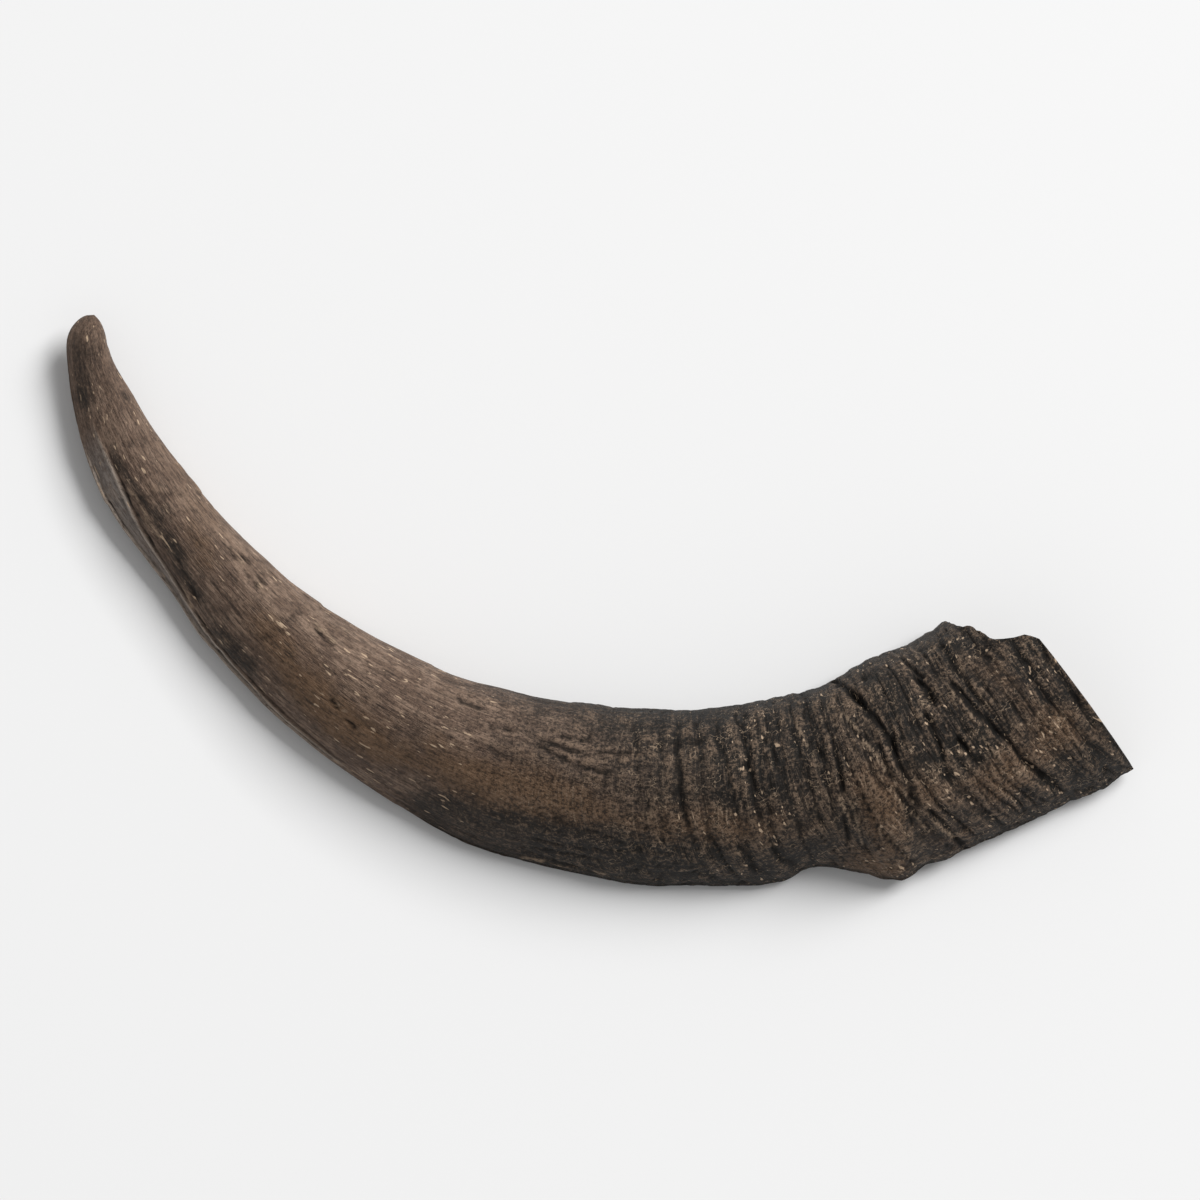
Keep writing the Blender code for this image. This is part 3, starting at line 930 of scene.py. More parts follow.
@dataclass(frozen=True)
class SawnEnd:
    """The saw cut across the base, and the broken corner beside it."""

    station: float = 0.2784
    bearing: float = 38.0
    steps: int = 12
    breaks: tuple[Pair, ...] = (
        (117.0, 0.0000), (122.0, 0.0020), (127.0, 0.0078), (131.0, 0.0088), (138.0, 0.0092),
        (147.0, 0.0107), (157.0, 0.0126), (166.0, 0.0136), (180.0, 0.0142), (195.0, 0.0140),
        (212.0, 0.0112), (231.0, 0.0080), (238.0, 0.0035), (246.0, 0.0000),
    )
    break_edge: float = 0.0015
    tear: float = 0.0004
    tear_size: float = 7.0

    def plane(self, line: MiddleLine) -> tuple[Array, Array]:
        """Find the saw cut's plane.

        Args:
            line: The horn's middle line.

        Returns:
            A point on it, and its normal away from the horn.
        """
        bearing = math.radians(self.bearing)
        middle_x = line.read(line.plan[:, 0], self.station)
        middle_y = line.read(line.plan[:, 1], self.station)
        return np.array((middle_x, middle_y, 0.0)), np.array((math.cos(bearing), math.sin(bearing), 0.0))

    def back(self, angles: Array) -> Array:
        """How far the broken corner lies behind the saw cut at each angle."""
        return np.interp(angles, [row[0] for row in self.breaks], [row[1] for row in self.breaks])

    def broken(self, angles: Array) -> Array:
        """1 on the broken corner, 0 on the saw cut."""
        return ease(self.back(angles), 0.0, self.break_edge)

    def stations(self, line: MiddleLine, angles: Array, skin: Skin) -> Array:
        """Stations where a skin ends.

        Args:
            line: The horn's middle line.
            angles: Angles to find them at.
            skin: Which of the two skins is wanted.

        Returns:
            The stations on the saw cut, less the broken corner.
        """
        middle, normal = self.plane(line)
        stations = np.full(angles.shape, self.station)
        for _ in range(self.steps):
            stations = stations - (line.place(stations, angles, skin) - middle) @ normal
        turns = np.stack((angles, np.full_like(angles, 3.0), np.zeros_like(angles)), axis=-1)
        torn = self.tear * Noise(41).at(turns / self.tear_size, 3) * self.broken(angles)
        return stations - self.back(angles) - torn

    def flatten(self, line: MiddleLine, points: Array, angles: Array) -> Array:
        """Bring the sawn points of a rim onto the saw cut.

        Args:
            line: The horn's middle line.
            points: The rim's points.
            angles: Angle of each point.

        Returns:
            The rim's points, those of the broken corner as they were.
        """
        middle, normal = self.plane(line)
        beyond = (points - middle) @ normal
        sawn = (self.back(angles) == 0.0)[:, None]
        return np.where(sawn, points - beyond[:, None] * normal, points)


@dataclass
class HornSheath:
    """The whole horn as one closed mesh, with the marks that its finish reads."""

    finish: HornFinish
    section: Section = field(default_factory=Section)
    rings: GrowthRings = field(default_factory=GrowthRings)
    forms: LongForms = field(default_factory=LongForms)
    weathering: Weathering = field(default_factory=Weathering)
    gashes: Gashes = field(default_factory=Gashes)
    pale_lines: PaleLines = field(default_factory=PaleLines)
    stains_and_shade: StainsAndShade = field(default_factory=StainsAndShade)
    end: SawnEnd = field(default_factory=SawnEnd)
    sides: int = 180
    row_spacings: tuple[Pair, ...] = (
        (0.006, 0.00035), (0.030, 0.00060), (0.140, 0.00090), (0.190, 0.00065), (0.2385, 0.00050),
    )
    mouth_rows: int = 110
    rim_rows: int = 5
    hollow_rows: int = 46
    blur_rows: int = 14
    blur_sides: int = 10
    # Depths below the smoothed relief, and depths of the gashes, over which the painted shade in them
    # grows.
    pit_shade_span: Pair = (0.00004, 0.00032)
    gash_shade_span: Pair = (0.00008, 0.00050)
    crest_highlight_span: Pair = (0.00003, 0.00020)
    line_span: Pair = (0.00006, 0.00018)
    # Stations where the painted highlight along the edges begins and ends.
    edge_highlight_start: Pair = (0.022, 0.034)
    edge_highlight_end: Pair = (0.100, 0.120)
    flute_size: tuple[float, float, float] = (0.030, 0.0035, 0.0035)
    flute_depth: float = 0.00022
    swell_size: float = 0.009
    swell_depth: float = 0.00025
    cut_grain: float = 0.0016
    sawn_depth: float = 0.00012
    torn_depth: float = 0.00055
    outer_strip: Pair = (0.02, 0.68)
    hollow_strip: Pair = (0.72, 0.98)
    map_margin: float = 0.01

    def __post_init__(self) -> None:
        """Work out the middle line and the angles of the mesh's columns."""
        self.line = MiddleLine(self.section)
        self.angles = np.arange(self.sides) * 360.0 / self.sides

    def _places(self, stations: Array) -> Places:
        """Places on every column of the mesh.

        Args:
            stations: Station of each point, a row to a ring.

        Returns:
            The places.
        """
        angles = np.repeat(self.angles[None, :], len(stations), axis=0)
        radius = self.section.radius(stations)
        turns = np.radians(angles)
        straight = np.stack((stations, radius * np.cos(turns), radius * np.sin(turns)), axis=-1)
        banded = straight.copy()
        banded[..., 0] = self.rings.ring_station(stations, angles, straight)
        return Places(stations, angles, straight, banded)

    def _outer_stations(self) -> Array:
        """Space the rings of the outside, closing in on the rim towards the mouth.

        Returns:
            The station of every point.
        """
        rims = self.end.stations(self.line, self.angles, Skin.OUTSIDE)
        rows = [0.0]
        for end, spacing in self.row_spacings:
            count = round((end - rows[-1]) / spacing)
            rows.extend(np.linspace(rows[-1], end, count + 1)[1:])
        even = np.repeat(np.array(rows)[1:, None], self.sides, axis=1)
        parts = np.linspace(0.0, 1.0, self.mouth_rows + 1)[1:, None]
        return np.concatenate((even, rows[-1] + (rims[None, :] - rows[-1]) * parts))

    def _hollow_stations(self) -> Array:
        """Space the rings of the hollow, from the rim to its far end.

        Returns:
            The station of every point.
        """
        rims = self.end.stations(self.line, self.angles, Skin.HOLLOW)
        far_end = self.section.mouth_station - self.section.hollow_depth
        parts = np.sin(np.linspace(0.0, math.pi / 2.0, self.hollow_rows + 1))[:-1, None]
        return rims[None, :] + (far_end - rims[None, :]) * parts

    def _plain_marks(self, places: Places) -> dict[Mark, Array]:
        """Marks of any part of the horn before its wear is known.

        Args:
            places: The places to mark.

        Returns:
            Every mark, those of wear being 0.
        """
        marks = {mark: np.zeros_like(places.stations) for mark in Mark}
        marks[Mark.STRAIGHT] = places.straight
        marks[Mark.BANDED] = places.banded
        marks[Mark.STATION] = places.stations
        marks[Mark.KEEL] = keel_share(places.angles)
        return marks

    def _outside(self) -> tuple[Array, dict[Mark, Array]]:
        """Make the outside, with all its relief.

        Returns:
            Its points and its marks.
        """
        places = self._places(self._outer_stations())
        gashes = self.gashes.depth(places, self.section)
        lines = self.pale_lines.heights(places, self.section)
        relief = self.rings.relief(places) - gashes + self.gashes.step_relief(places) + lines
        relief = relief + self.forms.relief(places) + self.weathering.relief(places)
        points = self.line.place(places.stations, places.angles, Skin.OUTSIDE)
        points = points + outward(points) * relief[..., None]
        points[-1] = self.end.flatten(self.line, points[-1], self.angles)
        proud = relief - blur(relief, self.blur_rows, self.blur_sides)
        edge_highlight = 1.0 - ease(places.stations, *self.edge_highlight_end)
        marks = self._plain_marks(places)
        marks[Mark.FLANK] = self.forms.flank(places)
        marks[Mark.WARM] = self.stains_and_shade.at(self.stains_and_shade.warm, places)
        marks[Mark.DARK] = self.stains_and_shade.at(self.stains_and_shade.dark_and_shade, places)
        # Painted shade: places sunk below the smoothed relief, and the gashes, are marked to be darkened as
        # shade falls in them.
        marks[Mark.GROOVE_SHADE] = np.maximum(ease(-proud, *self.pit_shade_span), ease(gashes, *self.gash_shade_span))
        # Painted highlight: places standing above the smoothed relief are marked to be lightened as if lit.
        marks[Mark.CREST_HIGHLIGHT] = ease(proud, *self.crest_highlight_span)
        marks[Mark.RIDGE] = self.forms.ridge(places)
        # Pale lines, their colour partly painted highlight on raised edges.
        marks[Mark.LINE] = ease(lines, *self.line_span)
        # Painted highlight along the keel and the edge inside the curve, over the tip half.
        marks[Mark.EDGE] = ease(places.stations, *self.edge_highlight_start) * edge_highlight
        return points, marks

    def _inside(self) -> tuple[Array, dict[Mark, Array]]:
        """Make the hollow.

        Returns:
            Its points and its marks.
        """
        places = self._places(self._hollow_stations())
        relief = self.flute_depth * Noise(51).at(places.straight / np.array(self.flute_size), 2)
        relief = relief + self.swell_depth * Noise(52).at(places.straight / self.swell_size, 2)
        points = self.line.place(places.stations, places.angles, Skin.HOLLOW)
        points = points + outward(points) * relief[..., None]
        points[0] = self.end.flatten(self.line, points[0], self.angles)
        marks = self._plain_marks(places)
        marks[Mark.HOLLOW] = np.ones_like(places.stations)
        return points, marks

    def _rim(self, outer: Array, inner: Array, stations: Array) -> tuple[Array, dict[Mark, Array]]:
        """Points and marks of the rim between the two skins.

        Args:
            outer: Last ring of the outside.
            inner: First ring of the hollow.
            stations: Stations of the outside's last ring.

        Returns:
            The rim's rings between the two, and their marks.
        """
        parts = np.linspace(0.0, 1.0, self.rim_rows + 2)[1:-1, None, None]
        points = outer[None] + (inner - outer)[None] * parts
        normal = self.end.plane(self.line)[1]
        broken = self.end.broken(self.angles)[None, :]
        depth = self.sawn_depth + self.torn_depth * broken
        torn = Noise(61).at(points / self.cut_grain, 2) * depth
        points = points - normal * np.abs(torn)[..., None] * (1.0 - 0.6 * broken[..., None])
        rows = np.repeat(stations[None, :], self.rim_rows, axis=0)
        marks = self._plain_marks(self._places(rows))
        marks[Mark.CUT] = np.ones_like(rows)
        return points, marks

    def _faces(self, rings: int) -> Array:
        """Join neighbouring rings of points.

        Args:
            rings: How many rings there are.

        Returns:
            The corner numbers of each face.
        """
        sides = np.arange(self.sides)
        after = (sides + 1) % self.sides
        first = np.arange(rings - 1)[:, None] * self.sides
        corners = (first + sides, first + self.sides + sides, first + self.sides + after, first + after)
        return np.stack(corners, axis=-1).reshape(-1, 4)

    def _lay_uv_map(self, mesh: bpy.types.Mesh, rings: int, first_hollow: int) -> None:
        """Lay the skins side by side on the map that a baked picture would use.

        Args:
            mesh: The horn's mesh.
            rings: How many rings of points it has.
            first_hollow: Number of the hollow's first ring.
        """
        row = np.arange(rings, dtype=float)
        outer = row < first_hollow
        along = np.where(outer, row / first_hollow, (row - first_hollow) / (rings - first_hollow))
        low = np.where(outer, self.outer_strip[0], self.hollow_strip[0])
        high = np.where(outer, self.outer_strip[1], self.hollow_strip[1])
        corners = np.empty(len(mesh.loops), dtype=np.int64)
        mesh.loops.foreach_get("vertex_index", corners)
        starts = np.empty(len(mesh.polygons), dtype=np.int64)
        mesh.polygons.foreach_get("loop_start", starts)
        totals = np.empty(len(mesh.polygons), dtype=np.int64)
        mesh.polygons.foreach_get("loop_total", totals)
        ring = np.minimum(corners // self.sides, rings - 1)
        side = (corners % self.sides).astype(float)
        face = np.repeat(np.arange(len(totals)), totals)
        least = np.minimum.reduceat(side, starts)[face]
        most = np.maximum.reduceat(side, starts)[face]
        side = np.where((most - least > self.sides / 2) & (side < self.sides / 2), side + self.sides, side)
        least_ring = np.minimum.reduceat(ring, starts)[face]
        crossing = (least_ring < first_hollow) & (ring >= first_hollow)
        u = np.where(crossing, 1.0, along[ring])
        strip = np.where(crossing, least_ring, ring)
        v = low[strip] + (high - low)[strip] * side / self.sides
        ends = corners >= rings * self.sides
        u = np.where(ends, np.where(corners == rings * self.sides, 0.0, 1.0), u)
        middle = (np.add.reduceat(np.where(ends, 0.0, v), starts) / np.maximum(totals - 1, 1))[face]
        v = np.where(ends, middle, v)
        layer = mesh.uv_layers.new(name=UV_MAP)
        u = self.map_margin + (1.0 - 2.0 * self.map_margin) * u
        layer.data.foreach_set("uv", np.stack((u, v), axis=-1).ravel())

    def build(self) -> bpy.types.Object:
        """Make the horn's object, with its mesh, marks, map and finish.

        Returns:
            The object, which stands for the whole horn.
        """
        outside, outer_marks = self._outside()
        hollow, hollow_marks = self._inside()
        rim, rim_marks = self._rim(outside[-1], hollow[0], outer_marks[Mark.STATION][-1])
        grid = np.concatenate((outside, rim, hollow))
        tip = self.line.place(np.zeros(1), np.zeros(1), Skin.OUTSIDE)
        far = np.full(1, self.section.mouth_station - self.section.hollow_depth)
        far_end = self.line.place(far, np.zeros(1), Skin.HOLLOW)
        points = np.concatenate((grid.reshape(-1, 3), tip, far_end))
        points = points + self._shift_to_frame(points)
        rings = len(grid)
        faces = self._faces(rings).tolist()
        last = (rings - 1) * self.sides
        for side in range(self.sides):
            after = (side + 1) % self.sides
            faces.append((rings * self.sides, side, after))
            faces.append((rings * self.sides + 1, last + after, last + side))
        mesh = bpy.data.meshes.new("horn_sheath")
        mesh.from_pydata(points.tolist(), [], faces)
        mesh.shade_smooth()
        for mark in Mark:
            values = np.concatenate((outer_marks[mark], rim_marks[mark], hollow_marks[mark]))
            self._keep_mark(mesh, mark, values)
        self._lay_uv_map(mesh, rings, len(outside) + self.rim_rows)
        mesh.materials.append(self.finish.material())
        horn = bpy.data.objects.new("horn_sheath", mesh)
        bpy.context.scene.collection.objects.link(horn)
        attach(horn, BODY)
        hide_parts(NODE)
        LOG.info("horn_sheath: %d triangles", sum(len(face) - 2 for face in faces))
        return horn

    def _shift_to_frame(self, points: Array) -> Array:
        """Find the move that sets the mesh in the box of the horn's own node.

        Args:
            points: The mesh's points.

        Returns:
            The move.
        """
        low, high = (np.array(corner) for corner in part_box(NODE))
        mesh_low = points.min(axis=0)
        mesh_high = points.max(axis=0)
        shift = (low + high - mesh_low - mesh_high) / 2.0
        shift[2] = low[2] - mesh_low[2]
        return shift

    def _keep_mark(self, mesh: bpy.types.Mesh, mark: Mark, values: Array) -> None:
        """Store one mark on every vertex, the two end points taking their ring's first value.

        Args:
            mesh: The horn's mesh.
            mark: Which mark it is.
            values: Its values, a row to a ring.
        """
        width = values.shape[2] if values.ndim == 3 else 1
        flat = values.reshape(-1, width)
        flat = np.concatenate((flat, flat[:1], flat[-1:]))
        kind = "FLOAT_VECTOR" if width == 3 else "FLOAT"
        attribute = mesh.attributes.new(mark.value, kind, "POINT")
        attribute.data.foreach_set("vector" if width == 3 else "value", flat.astype(np.float32).ravel())


@dataclass(frozen=True)
class Wire:
    """A socket in a material's nodes, with arithmetic that adds Math nodes."""

    net: Network
    socket: bpy.types.NodeSocket

    def __add__(self, other: Wire | float) -> Wire:
        """Sum of two values."""
        return self.net.math("ADD", self, other)

    def __radd__(self, other: float) -> Wire:
        """Sum with a number on the left."""
        return self.net.math("ADD", other, self)

    def __sub__(self, other: Wire | float) -> Wire:
        """Difference of two values."""
        return self.net.math("SUBTRACT", self, other)

    def __rsub__(self, other: float) -> Wire:
        """A number less this value."""
        return self.net.math("SUBTRACT", other, self)

    def __mul__(self, other: Wire | float) -> Wire:
        """Product of two values."""
        return self.net.math("MULTIPLY", self, other)

    def __rmul__(self, other: float) -> Wire:
        """Product with a number on the left."""
        return self.net.math("MULTIPLY", other, self)

    def eased(self, low: float, high: float) -> Wire:
        """Rise smoothly from 0 at low to 1 at high."""
        settings = {"interpolation_type": "SMOOTHSTEP"}
        inputs = {"Value": self, "From Min": low, "From Max": high, "To Min": 0.0, "To Max": 1.0}
        return self.net.add("ShaderNodeMapRange", settings, inputs, "Result")

    def stretched(self, factors: tuple[float, float, float]) -> Wire:
        """A vector with each part multiplied by its own factor."""
        inputs = {"Vector": self, "Vector_001": factors}
        return self.net.add("ShaderNodeVectorMath", {"operation": "MULTIPLY"}, inputs, "Vector")


class Network:
    """The nodes of one material."""

    def __init__(self, name: str) -> None:
        """Make an empty material.

        Args:
            name: The material's name.
        """
        self.material = bpy.data.materials.new(name)
        self.material.use_nodes = True
        self.tree = self.material.node_tree
        self.tree.nodes.clear()

    def add(self, kind: str, settings: dict[str, Any], inputs: dict[str, Any], output: str) -> Wire:
        """Add one node.

        Args:
            kind: The node's type.
            settings: Its own settings, made first.
            inputs: Values or wires for its sockets, by the sockets' identifiers.
            output: Identifier of the socket to hand back.

        Returns:
            The wanted output.
        """
        node = self.tree.nodes.new(kind)
        for name, value in settings.items():
            setattr(node, name, value)
        sockets = {socket.identifier: socket for socket in node.inputs}
        for name, value in inputs.items():
            if isinstance(value, Wire):
                self.tree.links.new(value.socket, sockets[name])
            else:
                sockets[name].default_value = value
        return Wire(self, {socket.identifier: socket for socket in node.outputs}[output])

    def math(self, operation: str, first: Wire | float, second: Wire | float) -> Wire:
        """One Math node on two values."""
        inputs = {"Value": first, "Value_001": second}
        return self.add("ShaderNodeMath", {"operation": operation}, inputs, "Value")

    def mark(self, mark: Mark) -> Wire:
        """A value kept on the mesh."""
        output = "Vector" if mark in (Mark.STRAIGHT, Mark.BANDED) else "Fac"
        settings = {"attribute_type": "GEOMETRY", "attribute_name": mark.value}
        return self.add("ShaderNodeAttribute", settings, {}, output)

    def noise(self, place: Wire, along: float, across: float, detail: float, roughness: float) -> Wire:
        """Noise over the horn pulled straight.

        Args:
            place: The place to read it at.
            along: Cells to a metre along the horn.
            across: Cells to a metre across it.
            detail: How many finer layers it has.
            roughness: How strong the finer layers are.

        Returns:
            The noise, between 0 and 1 with most of it near the middle.
        """
        cells = place.stretched((along, across, across))
        inputs = {"Vector": cells, "Scale": 1.0, "Detail": detail, "Roughness": roughness}
        return self.add("ShaderNodeTexNoise", {"noise_dimensions": "3D"}, inputs, "Fac")

    def blend(self, factor: Wire | float, first: Wire | Colour, second: Wire | Colour) -> Wire:
        """Blend two colours.

        Args:
            factor: How much of the second colour to take.
            first: The colour at 0.
            second: The colour at 1.

        Returns:
            The blended colour.
        """
        settings = {"data_type": "RGBA", "blend_type": "MIX", "clamp_factor": True}
        inputs = {"Factor_Float": factor, "A_Color": self._full(first), "B_Color": self._full(second)}
        return self.add("ShaderNodeMix", settings, inputs, "Result_Color")

    def layered(self, colour: Wire, layers: tuple[tuple[Wire, Wire | Colour], ...]) -> Wire:
        """Lay colours over one another.

        Args:
            colour: The lowest colour.
            layers: Each layer's share and colour, from the lowest up.

        Returns:
            The colour with all its layers.
        """
        for share, over in layers:
            colour = self.blend(share, colour, over)
        return colour

    def _full(self, colour: Wire | Colour) -> Wire | tuple[float, float, float, float]:
        """A plain colour with its alpha, or a wire as it is."""
        return colour if isinstance(colour, Wire) else (*colour, 1.0)

    def finish(self, inputs: dict[str, Any]) -> bpy.types.Material:
        """End the material with a Principled shader.

        Args:
            inputs: Values or wires for the shader's sockets.

        Returns:
            The material.
        """
        shader = self.add("ShaderNodeBsdfPrincipled", {}, inputs, "BSDF")
        output = self.tree.nodes.new("ShaderNodeOutputMaterial")
        self.tree.links.new(shader.socket, output.inputs["Surface"])
        return self.material


@dataclass(frozen=True)
class HornFinish:
    """Weathered horn: grey-brown fibres to the tip, charcoal rings at the base, pale specks."""

    shaft: Colour = (0.130, 0.085, 0.061)
    shaft_light: Colour = (0.285, 0.198, 0.144)
    brown: Colour = (0.092, 0.054, 0.033)
    warm: Colour = (0.175, 0.102, 0.056)
    charcoal: Colour = (0.014, 0.012, 0.010)
    belly_grey: Colour = (0.034, 0.026, 0.020)
    # Grey of the flank beside the keel, made lighter to also paint light on a side that lies in shade.
    lit_flank_grey: Colour = (0.260, 0.232, 0.212)
    # Near black: black grain, also in the hollow, and the painted shade in grooves, pits and along the
    # edges.
    pit: Colour = (0.006, 0.005, 0.004)
    # Light tone for the grain and streaks, and for the painted highlight on crests.
    crest: Colour = (0.206, 0.142, 0.097)
    # Pale tone of the proud lines, partly painted highlight on raised edges.
    line: Colour = (0.330, 0.240, 0.165)
    speck: Colour = (0.480, 0.350, 0.240)
    # Pale colour of the painted highlight along the edges, and of the ridge beside the flank.
    pale_highlight: Colour = (0.520, 0.440, 0.370)
    hollow: Colour = (0.075, 0.048, 0.030)
    cut: Colour = (0.110, 0.078, 0.052)
    roughness: float = 0.64
    sheen_level: float = 0.16
    ior: float = 1.54
    bump_height: float = 0.00050

    def _tone_and_painted_light(self, net: Network, marks: dict[Mark, Wire]) -> Wire:
        """Colour of the outside before its grain, specks and painted groove shade: its tones, brown
        patches, painted light on the tip half's side inside the curve, and charcoal patches that are partly
        painted shade.

        Args:
            net: The material's nodes.
            marks: The values kept on the mesh.

        Returns:
            The colour.
        """
        place = marks[Mark.STRAIGHT]
        banded = marks[Mark.BANDED]
        station = marks[Mark.STATION]
        stain = marks[Mark.WARM]
        broad = net.noise(place, 55.0, 90.0, 3.0, 0.6)
        patchy = net.noise(place, 170.0, 260.0, 4.0, 0.65)
        fibres = net.noise(place, 90.0, 1300.0, 4.0, 0.7)
        threads = net.noise(banded, 1900.0, 120.0, 3.0, 0.6)
        wisps = net.noise(banded, 620.0, 75.0, 2.0, 0.5) - 0.5
        base = (station + (broad - 0.5) * 0.08).eased(0.122, 0.190)
        warm = (stain * 0.55 + patchy * 0.7 + broad * 0.5 - (1.0 - base) * 0.12).eased(0.60, 0.95)
        dark_and_shade = marks[Mark.DARK] * 0.60 + (1.0 - patchy) * 0.45 + (1.0 - broad) * 0.35
        light = (fibres + (patchy - 0.5) * 0.9).eased(0.44, 0.62) * (1.0 - base)
        sunlit = (1.0 - marks[Mark.KEEL]).eased(0.35, 0.95) * (1.0 - station.eased(0.075, 0.125))
        sunlit = sunlit * station.eased(0.015, 0.055)
        lines = (1.0 - wisps * wisps * 4200.0).eased(0.0, 0.9) * patchy.eased(0.46, 0.60) * base
        streaks = (threads + (patchy - 0.5) * 0.5).eased(0.56, 0.66) * base
        layers = (
            (light * (0.30 + station.eased(0.010, 0.055) * 0.42), self.shaft_light),
            (sunlit * patchy.eased(0.30, 0.62) * 0.55, self.shaft_light),
            (warm * (0.85 - base * 0.15), net.blend(stain, self.brown, self.warm)),
            # Charcoal patches, some of them painted shade.
            (dark_and_shade.eased(0.50, 0.88) * (0.66 + base * 0.31), self.charcoal),
            (lines * (0.34 + stain * 0.3), self.speck),
            (streaks * (0.34 + stain * 0.6), self.crest),
        )
        return net.layered(net.blend(base, self.shaft, self.belly_grey), layers)

    def _specked(self, net: Network, colour: Wire, marks: dict[Mark, Wire]) -> Wire:
        """The colour with pale specks, in rows along the tip half and across the base.

        Args:
            net: The material's nodes.
            colour: The colour under the specks.
            marks: The values kept on the mesh.

        Returns:
            The colour with its specks.
        """
        place = marks[Mark.STRAIGHT]
        banded = marks[Mark.BANDED]
        base = marks[Mark.STATION].eased(0.130, 0.200)
        some = net.noise(place, 95.0, 140.0, 3.0, 0.6)
        lean = (some - 0.5) * 0.30 + marks[Mark.WARM] * 0.012
        along = net.noise(place, 280.0, 1700.0, 1.5, 0.5) - base * 0.6
        across = net.noise(banded, 1100.0, 600.0, 1.5, 0.5) - (1.0 - base) * 0.6
        specks = (along + lean).eased(0.685, 0.735) * 0.9 + (across + lean).eased(0.695, 0.750) * 0.9
        curls = net.noise(place, 650.0, 900.0, 1.5, 0.5) - 0.5
        near = (1.0 - (curls * curls) * 2500.0).eased(0.0, 0.9)
        bits = (net.noise(place, 300.0, 420.0, 2.0, 0.6) + lean).eased(0.54, 0.62) * base
        return net.layered(colour, ((near * bits * 0.45, self.speck), (specks, self.speck)))

    def _grained(self, net: Network, marks: dict[Mark, Wire], grain: Wire, tip_half: Wire) -> Wire:
        """Colour of the outside with its grain and specks, painted shade in its grooves and pits and along
        its edges, and painted highlights on its crests, ridges and edges.

        Args:
            net: The material's nodes.
            marks: The values kept on the mesh.
            grain: The fine grain.
            tip_half: 1 on the tip half, 0 on the base half.

        Returns:
            The colour.
        """
        keel = marks[Mark.KEEL]
        flank = marks[Mark.FLANK]
        dull = 0.80 - tip_half * 0.22 - flank * 0.3
        strands = net.noise(marks[Mark.STRAIGHT], 75.0, 2500.0, 2.0, 0.55)
        lines = (1.0 - strands).eased(0.57, 0.68) * tip_half * (0.55 - flank * 0.2)
        lines = lines * (0.4 + marks[Mark.STATION].eased(0.010, 0.055) * 0.6)
        inner_edge = (1.0 - keel).eased(0.965, 1.0)
        # Painted shade: a darker rim along the keel and along the edge inside the curve, on the base half.
        edges = (keel.eased(0.965, 1.0) + inner_edge) * (1.0 - tip_half)
        # Painted highlight along the keel and, more weakly, along the edge inside the curve.
        edge_highlight = keel.eased(0.985, 1.0) + inner_edge.eased(0.86, 0.99) * 0.7
        layers = (
            # The flank's grey, partly its own tone and partly painted light.
            (flank * (0.22 + grain.eased(0.36, 0.58) * 0.6), self.lit_flank_grey),
            ((1.0 - grain).eased(0.43, 0.62) * dull, self.pit),
            (lines, self.pit),
            (grain.eased(0.55, 0.63) * (0.36 + tip_half * 0.14 + marks[Mark.WARM] * 0.20), self.crest),
            # Painted highlight on the crests.
            (marks[Mark.CREST_HIGHLIGHT] * grain.eased(0.38, 0.58) * 0.55, self.crest),
            # Darker patches, some of them painted shade.
            (marks[Mark.DARK] * (1.0 - grain.eased(0.42, 0.60)) * 0.5, self.charcoal),
            # Painted shade in the grooves and pits.
            (marks[Mark.GROOVE_SHADE] * 0.88, self.pit),
            # Pale lines, partly painted highlight on raised edges.
            (marks[Mark.LINE] * grain.eased(0.36, 0.54) * 0.75, self.line),
            # The ridge beside the flank, pale, partly painted highlight.
            (marks[Mark.RIDGE] * grain.eased(0.34, 0.52) * 0.8, self.pale_highlight),
            # Painted shade along the edges.
            (edges * 0.6, self.pit),
            (edge_highlight * marks[Mark.EDGE] * grain.eased(0.36, 0.54) * 0.7, self.pale_highlight),
        )
        return self._specked(net, net.layered(self._tone_and_painted_light(net, marks), layers), marks)

    def material(self) -> bpy.types.Material:
        """Make the finish's material.

        Returns:
            The material.
        """
        net = Network(SLOT)
        marks = {mark: net.mark(mark) for mark in Mark}
        place = marks[Mark.STRAIGHT]
        station = marks[Mark.STATION]
        tip_half = 1.0 - station.eased(0.110, 0.170)
        even_grain = net.noise(place, 1100.0, 1700.0, 3.0, 0.8)
        long_grain = net.noise(place, 300.0, 3000.0, 3.0, 0.8)
        grain = even_grain + (long_grain - even_grain) * tip_half * 0.6
        layers = (
            (marks[Mark.HOLLOW], net.blend(grain.eased(0.35, 0.7), self.pit, self.hollow)),
            (marks[Mark.CUT], net.blend(grain.eased(0.3, 0.7) * 0.6, self.cut, self.charcoal)),
        )
        colour = net.layered(self._grained(net, marks, grain, tip_half), layers)
        fibres = net.noise(place, 200.0, 2200.0, 3.0, 0.65)
        threads = net.noise(marks[Mark.BANDED], 1800.0, 250.0, 3.0, 0.65)
        base = station.eased(0.130, 0.210)
        height = grain * 0.8 + fibres * (1.0 - base) * 0.6 + threads * base * 0.8
        normal = net.add("ShaderNodeBump", {}, {"Distance": self.bump_height, "Height": height}, "Normal")
        inputs = {
            "Base Color": colour,
            "Roughness": self.roughness + (grain - 0.5) * 0.3 + marks[Mark.GROOVE_SHADE] * 0.2,
            "Normal": normal,
            "IOR": self.ior,
            "Specular IOR Level": self.sheen_level,
        }
        return net.finish(inputs)


@dataclass(frozen=True)
class FloorFinish:
    """Plain pale card."""

    colour: Colour = (0.800, 0.800, 0.800)
    roughness: float = 0.9
    sheen_level: float = 0.1

    def material(self) -> bpy.types.Material:
        """Make the finish's material."""
        net = Network("pale_card")
        inputs = {
            "Base Color": (*self.colour, 1.0),
            "Roughness": self.roughness,
            "Specular IOR Level": self.sheen_level,
        }
        return net.finish(inputs)


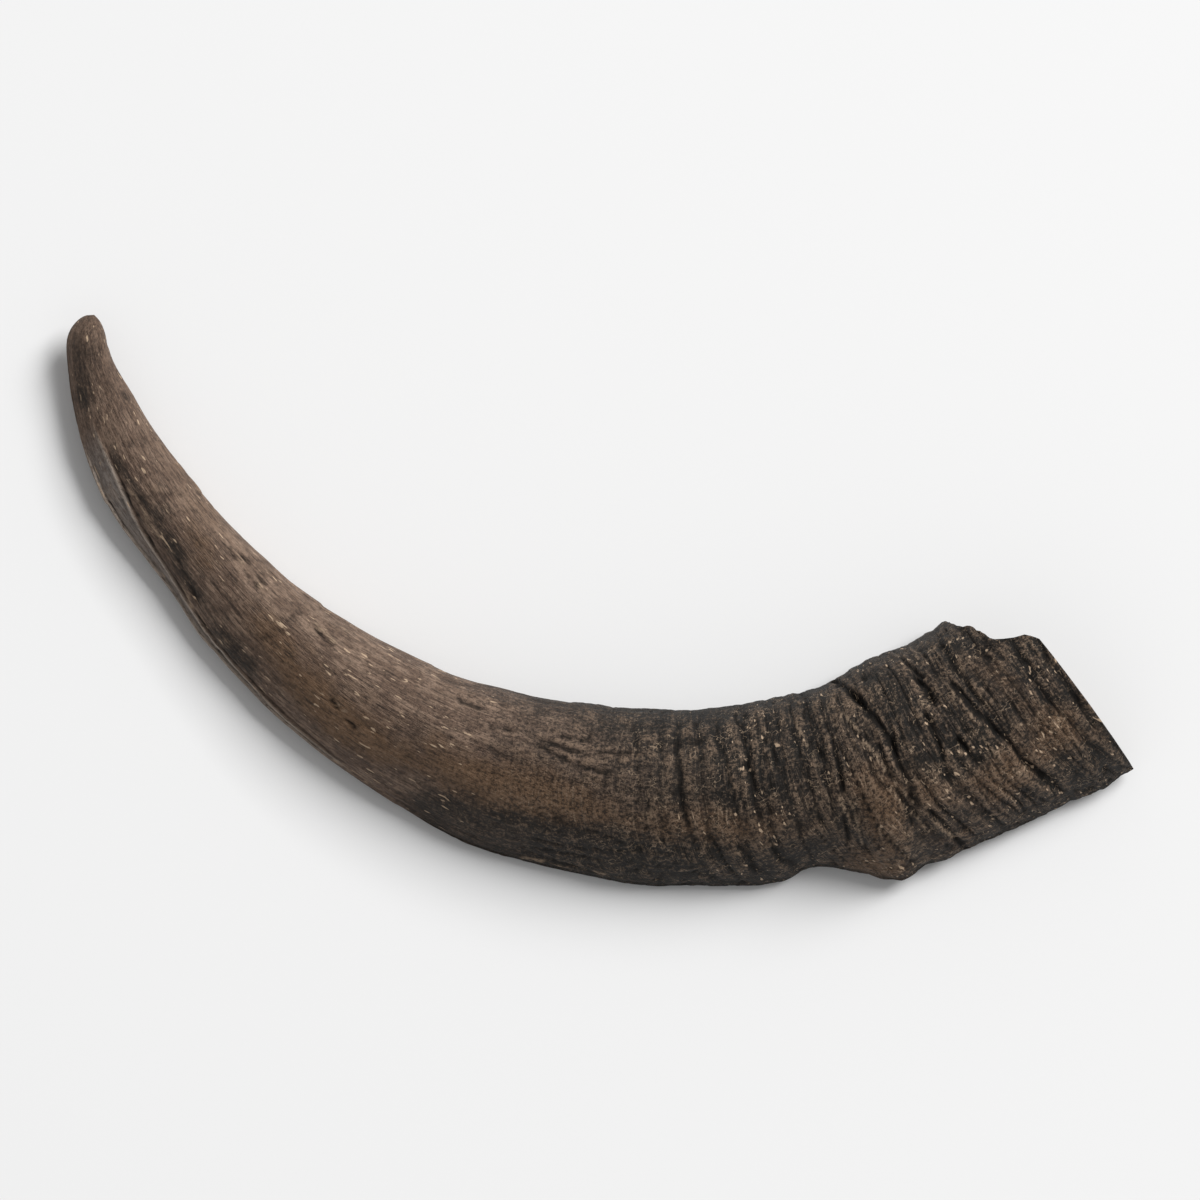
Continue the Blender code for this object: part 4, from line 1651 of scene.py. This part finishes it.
@dataclass
class Studio:
    """The plain floor, the soft light from the upper right and the pale surroundings."""

    floor_finish: FloorFinish
    floor_half: float = 6.0
    key_place: tuple[float, float, float] = (3.60, 3.30, 4.90)
    key_size: float = 3.60
    key_power: float = 560.0
    world_strength: float = 0.36

    def build(self) -> None:
        """Make the floor, the light and the surroundings."""
        self._floor()
        self._key_light()
        self._surroundings()
        LOG.info("studio: floor, key light and surroundings")

    def _floor(self) -> None:
        """A flat square under the horn."""
        half = self.floor_half
        corners = [(-half, -half, 0.0), (half, -half, 0.0), (half, half, 0.0), (-half, half, 0.0)]
        mesh = bpy.data.meshes.new("floor")
        mesh.from_pydata(corners, [], [(0, 1, 2, 3)])
        mesh.materials.append(self.floor_finish.material())
        floor = bpy.data.objects.new("floor", mesh)
        bpy.context.scene.collection.objects.link(floor)

    def _key_light(self) -> None:
        """A soft square light, turned to the horn."""
        light = bpy.data.lights.new("key", "AREA")
        light.size = self.key_size
        light.energy = self.key_power
        lamp = bpy.data.objects.new("key", light)
        place = np.array(self.key_place)
        lamp.location = self.key_place
        lamp.rotation_euler = (
            math.acos(place[2] / float(np.linalg.norm(place))),
            0.0,
            math.atan2(place[1], place[0]) + math.pi / 2.0,
        )
        bpy.context.scene.collection.objects.link(lamp)

    def _surroundings(self) -> None:
        """Even pale light from all round."""
        world = bpy.data.worlds.new("pale")
        world.use_nodes = True
        background = world.node_tree.nodes["Background"]
        background.inputs["Color"].default_value = (1.0, 1.0, 1.0, 1.0)
        background.inputs["Strength"].default_value = self.world_strength
        bpy.context.scene.world = world
        bpy.context.scene.view_settings.view_transform = "Standard"


@dataclass
class OverheadCamera:
    """A long lens almost straight above the horn."""

    elevation: float = 88.0
    target: tuple[float, float, float] = (0.0, 0.0, 0.010)
    frame_width: float = 0.270
    lens: float = 320.0
    sensor: float = 36.0

    def build(self) -> None:
        """Make the camera and look through it."""
        camera = bpy.data.cameras.new("overhead")
        camera.lens = self.lens
        camera.sensor_width = self.sensor
        distance = self.frame_width * self.lens / self.sensor
        rise = math.radians(self.elevation)
        eye = bpy.data.objects.new("overhead", camera)
        eye.location = (
            self.target[0],
            self.target[1] - distance * math.cos(rise),
            self.target[2] + distance * math.sin(rise),
        )
        eye.rotation_euler = (math.pi / 2.0 - rise, 0.0, 0.0)
        bpy.context.scene.collection.objects.link(eye)
        bpy.context.scene.camera = eye
        LOG.info("camera: %.0f degrees up, %.3f m away", self.elevation, distance)


def main() -> None:
    """Build the horn, the studio and the camera."""
    logging.basicConfig(level=logging.INFO, format="%(name)s: %(message)s")
    HornSheath(HornFinish()).build()
    Studio(FloorFinish()).build()
    OverheadCamera().build()


if __name__ == "__main__":
    main()
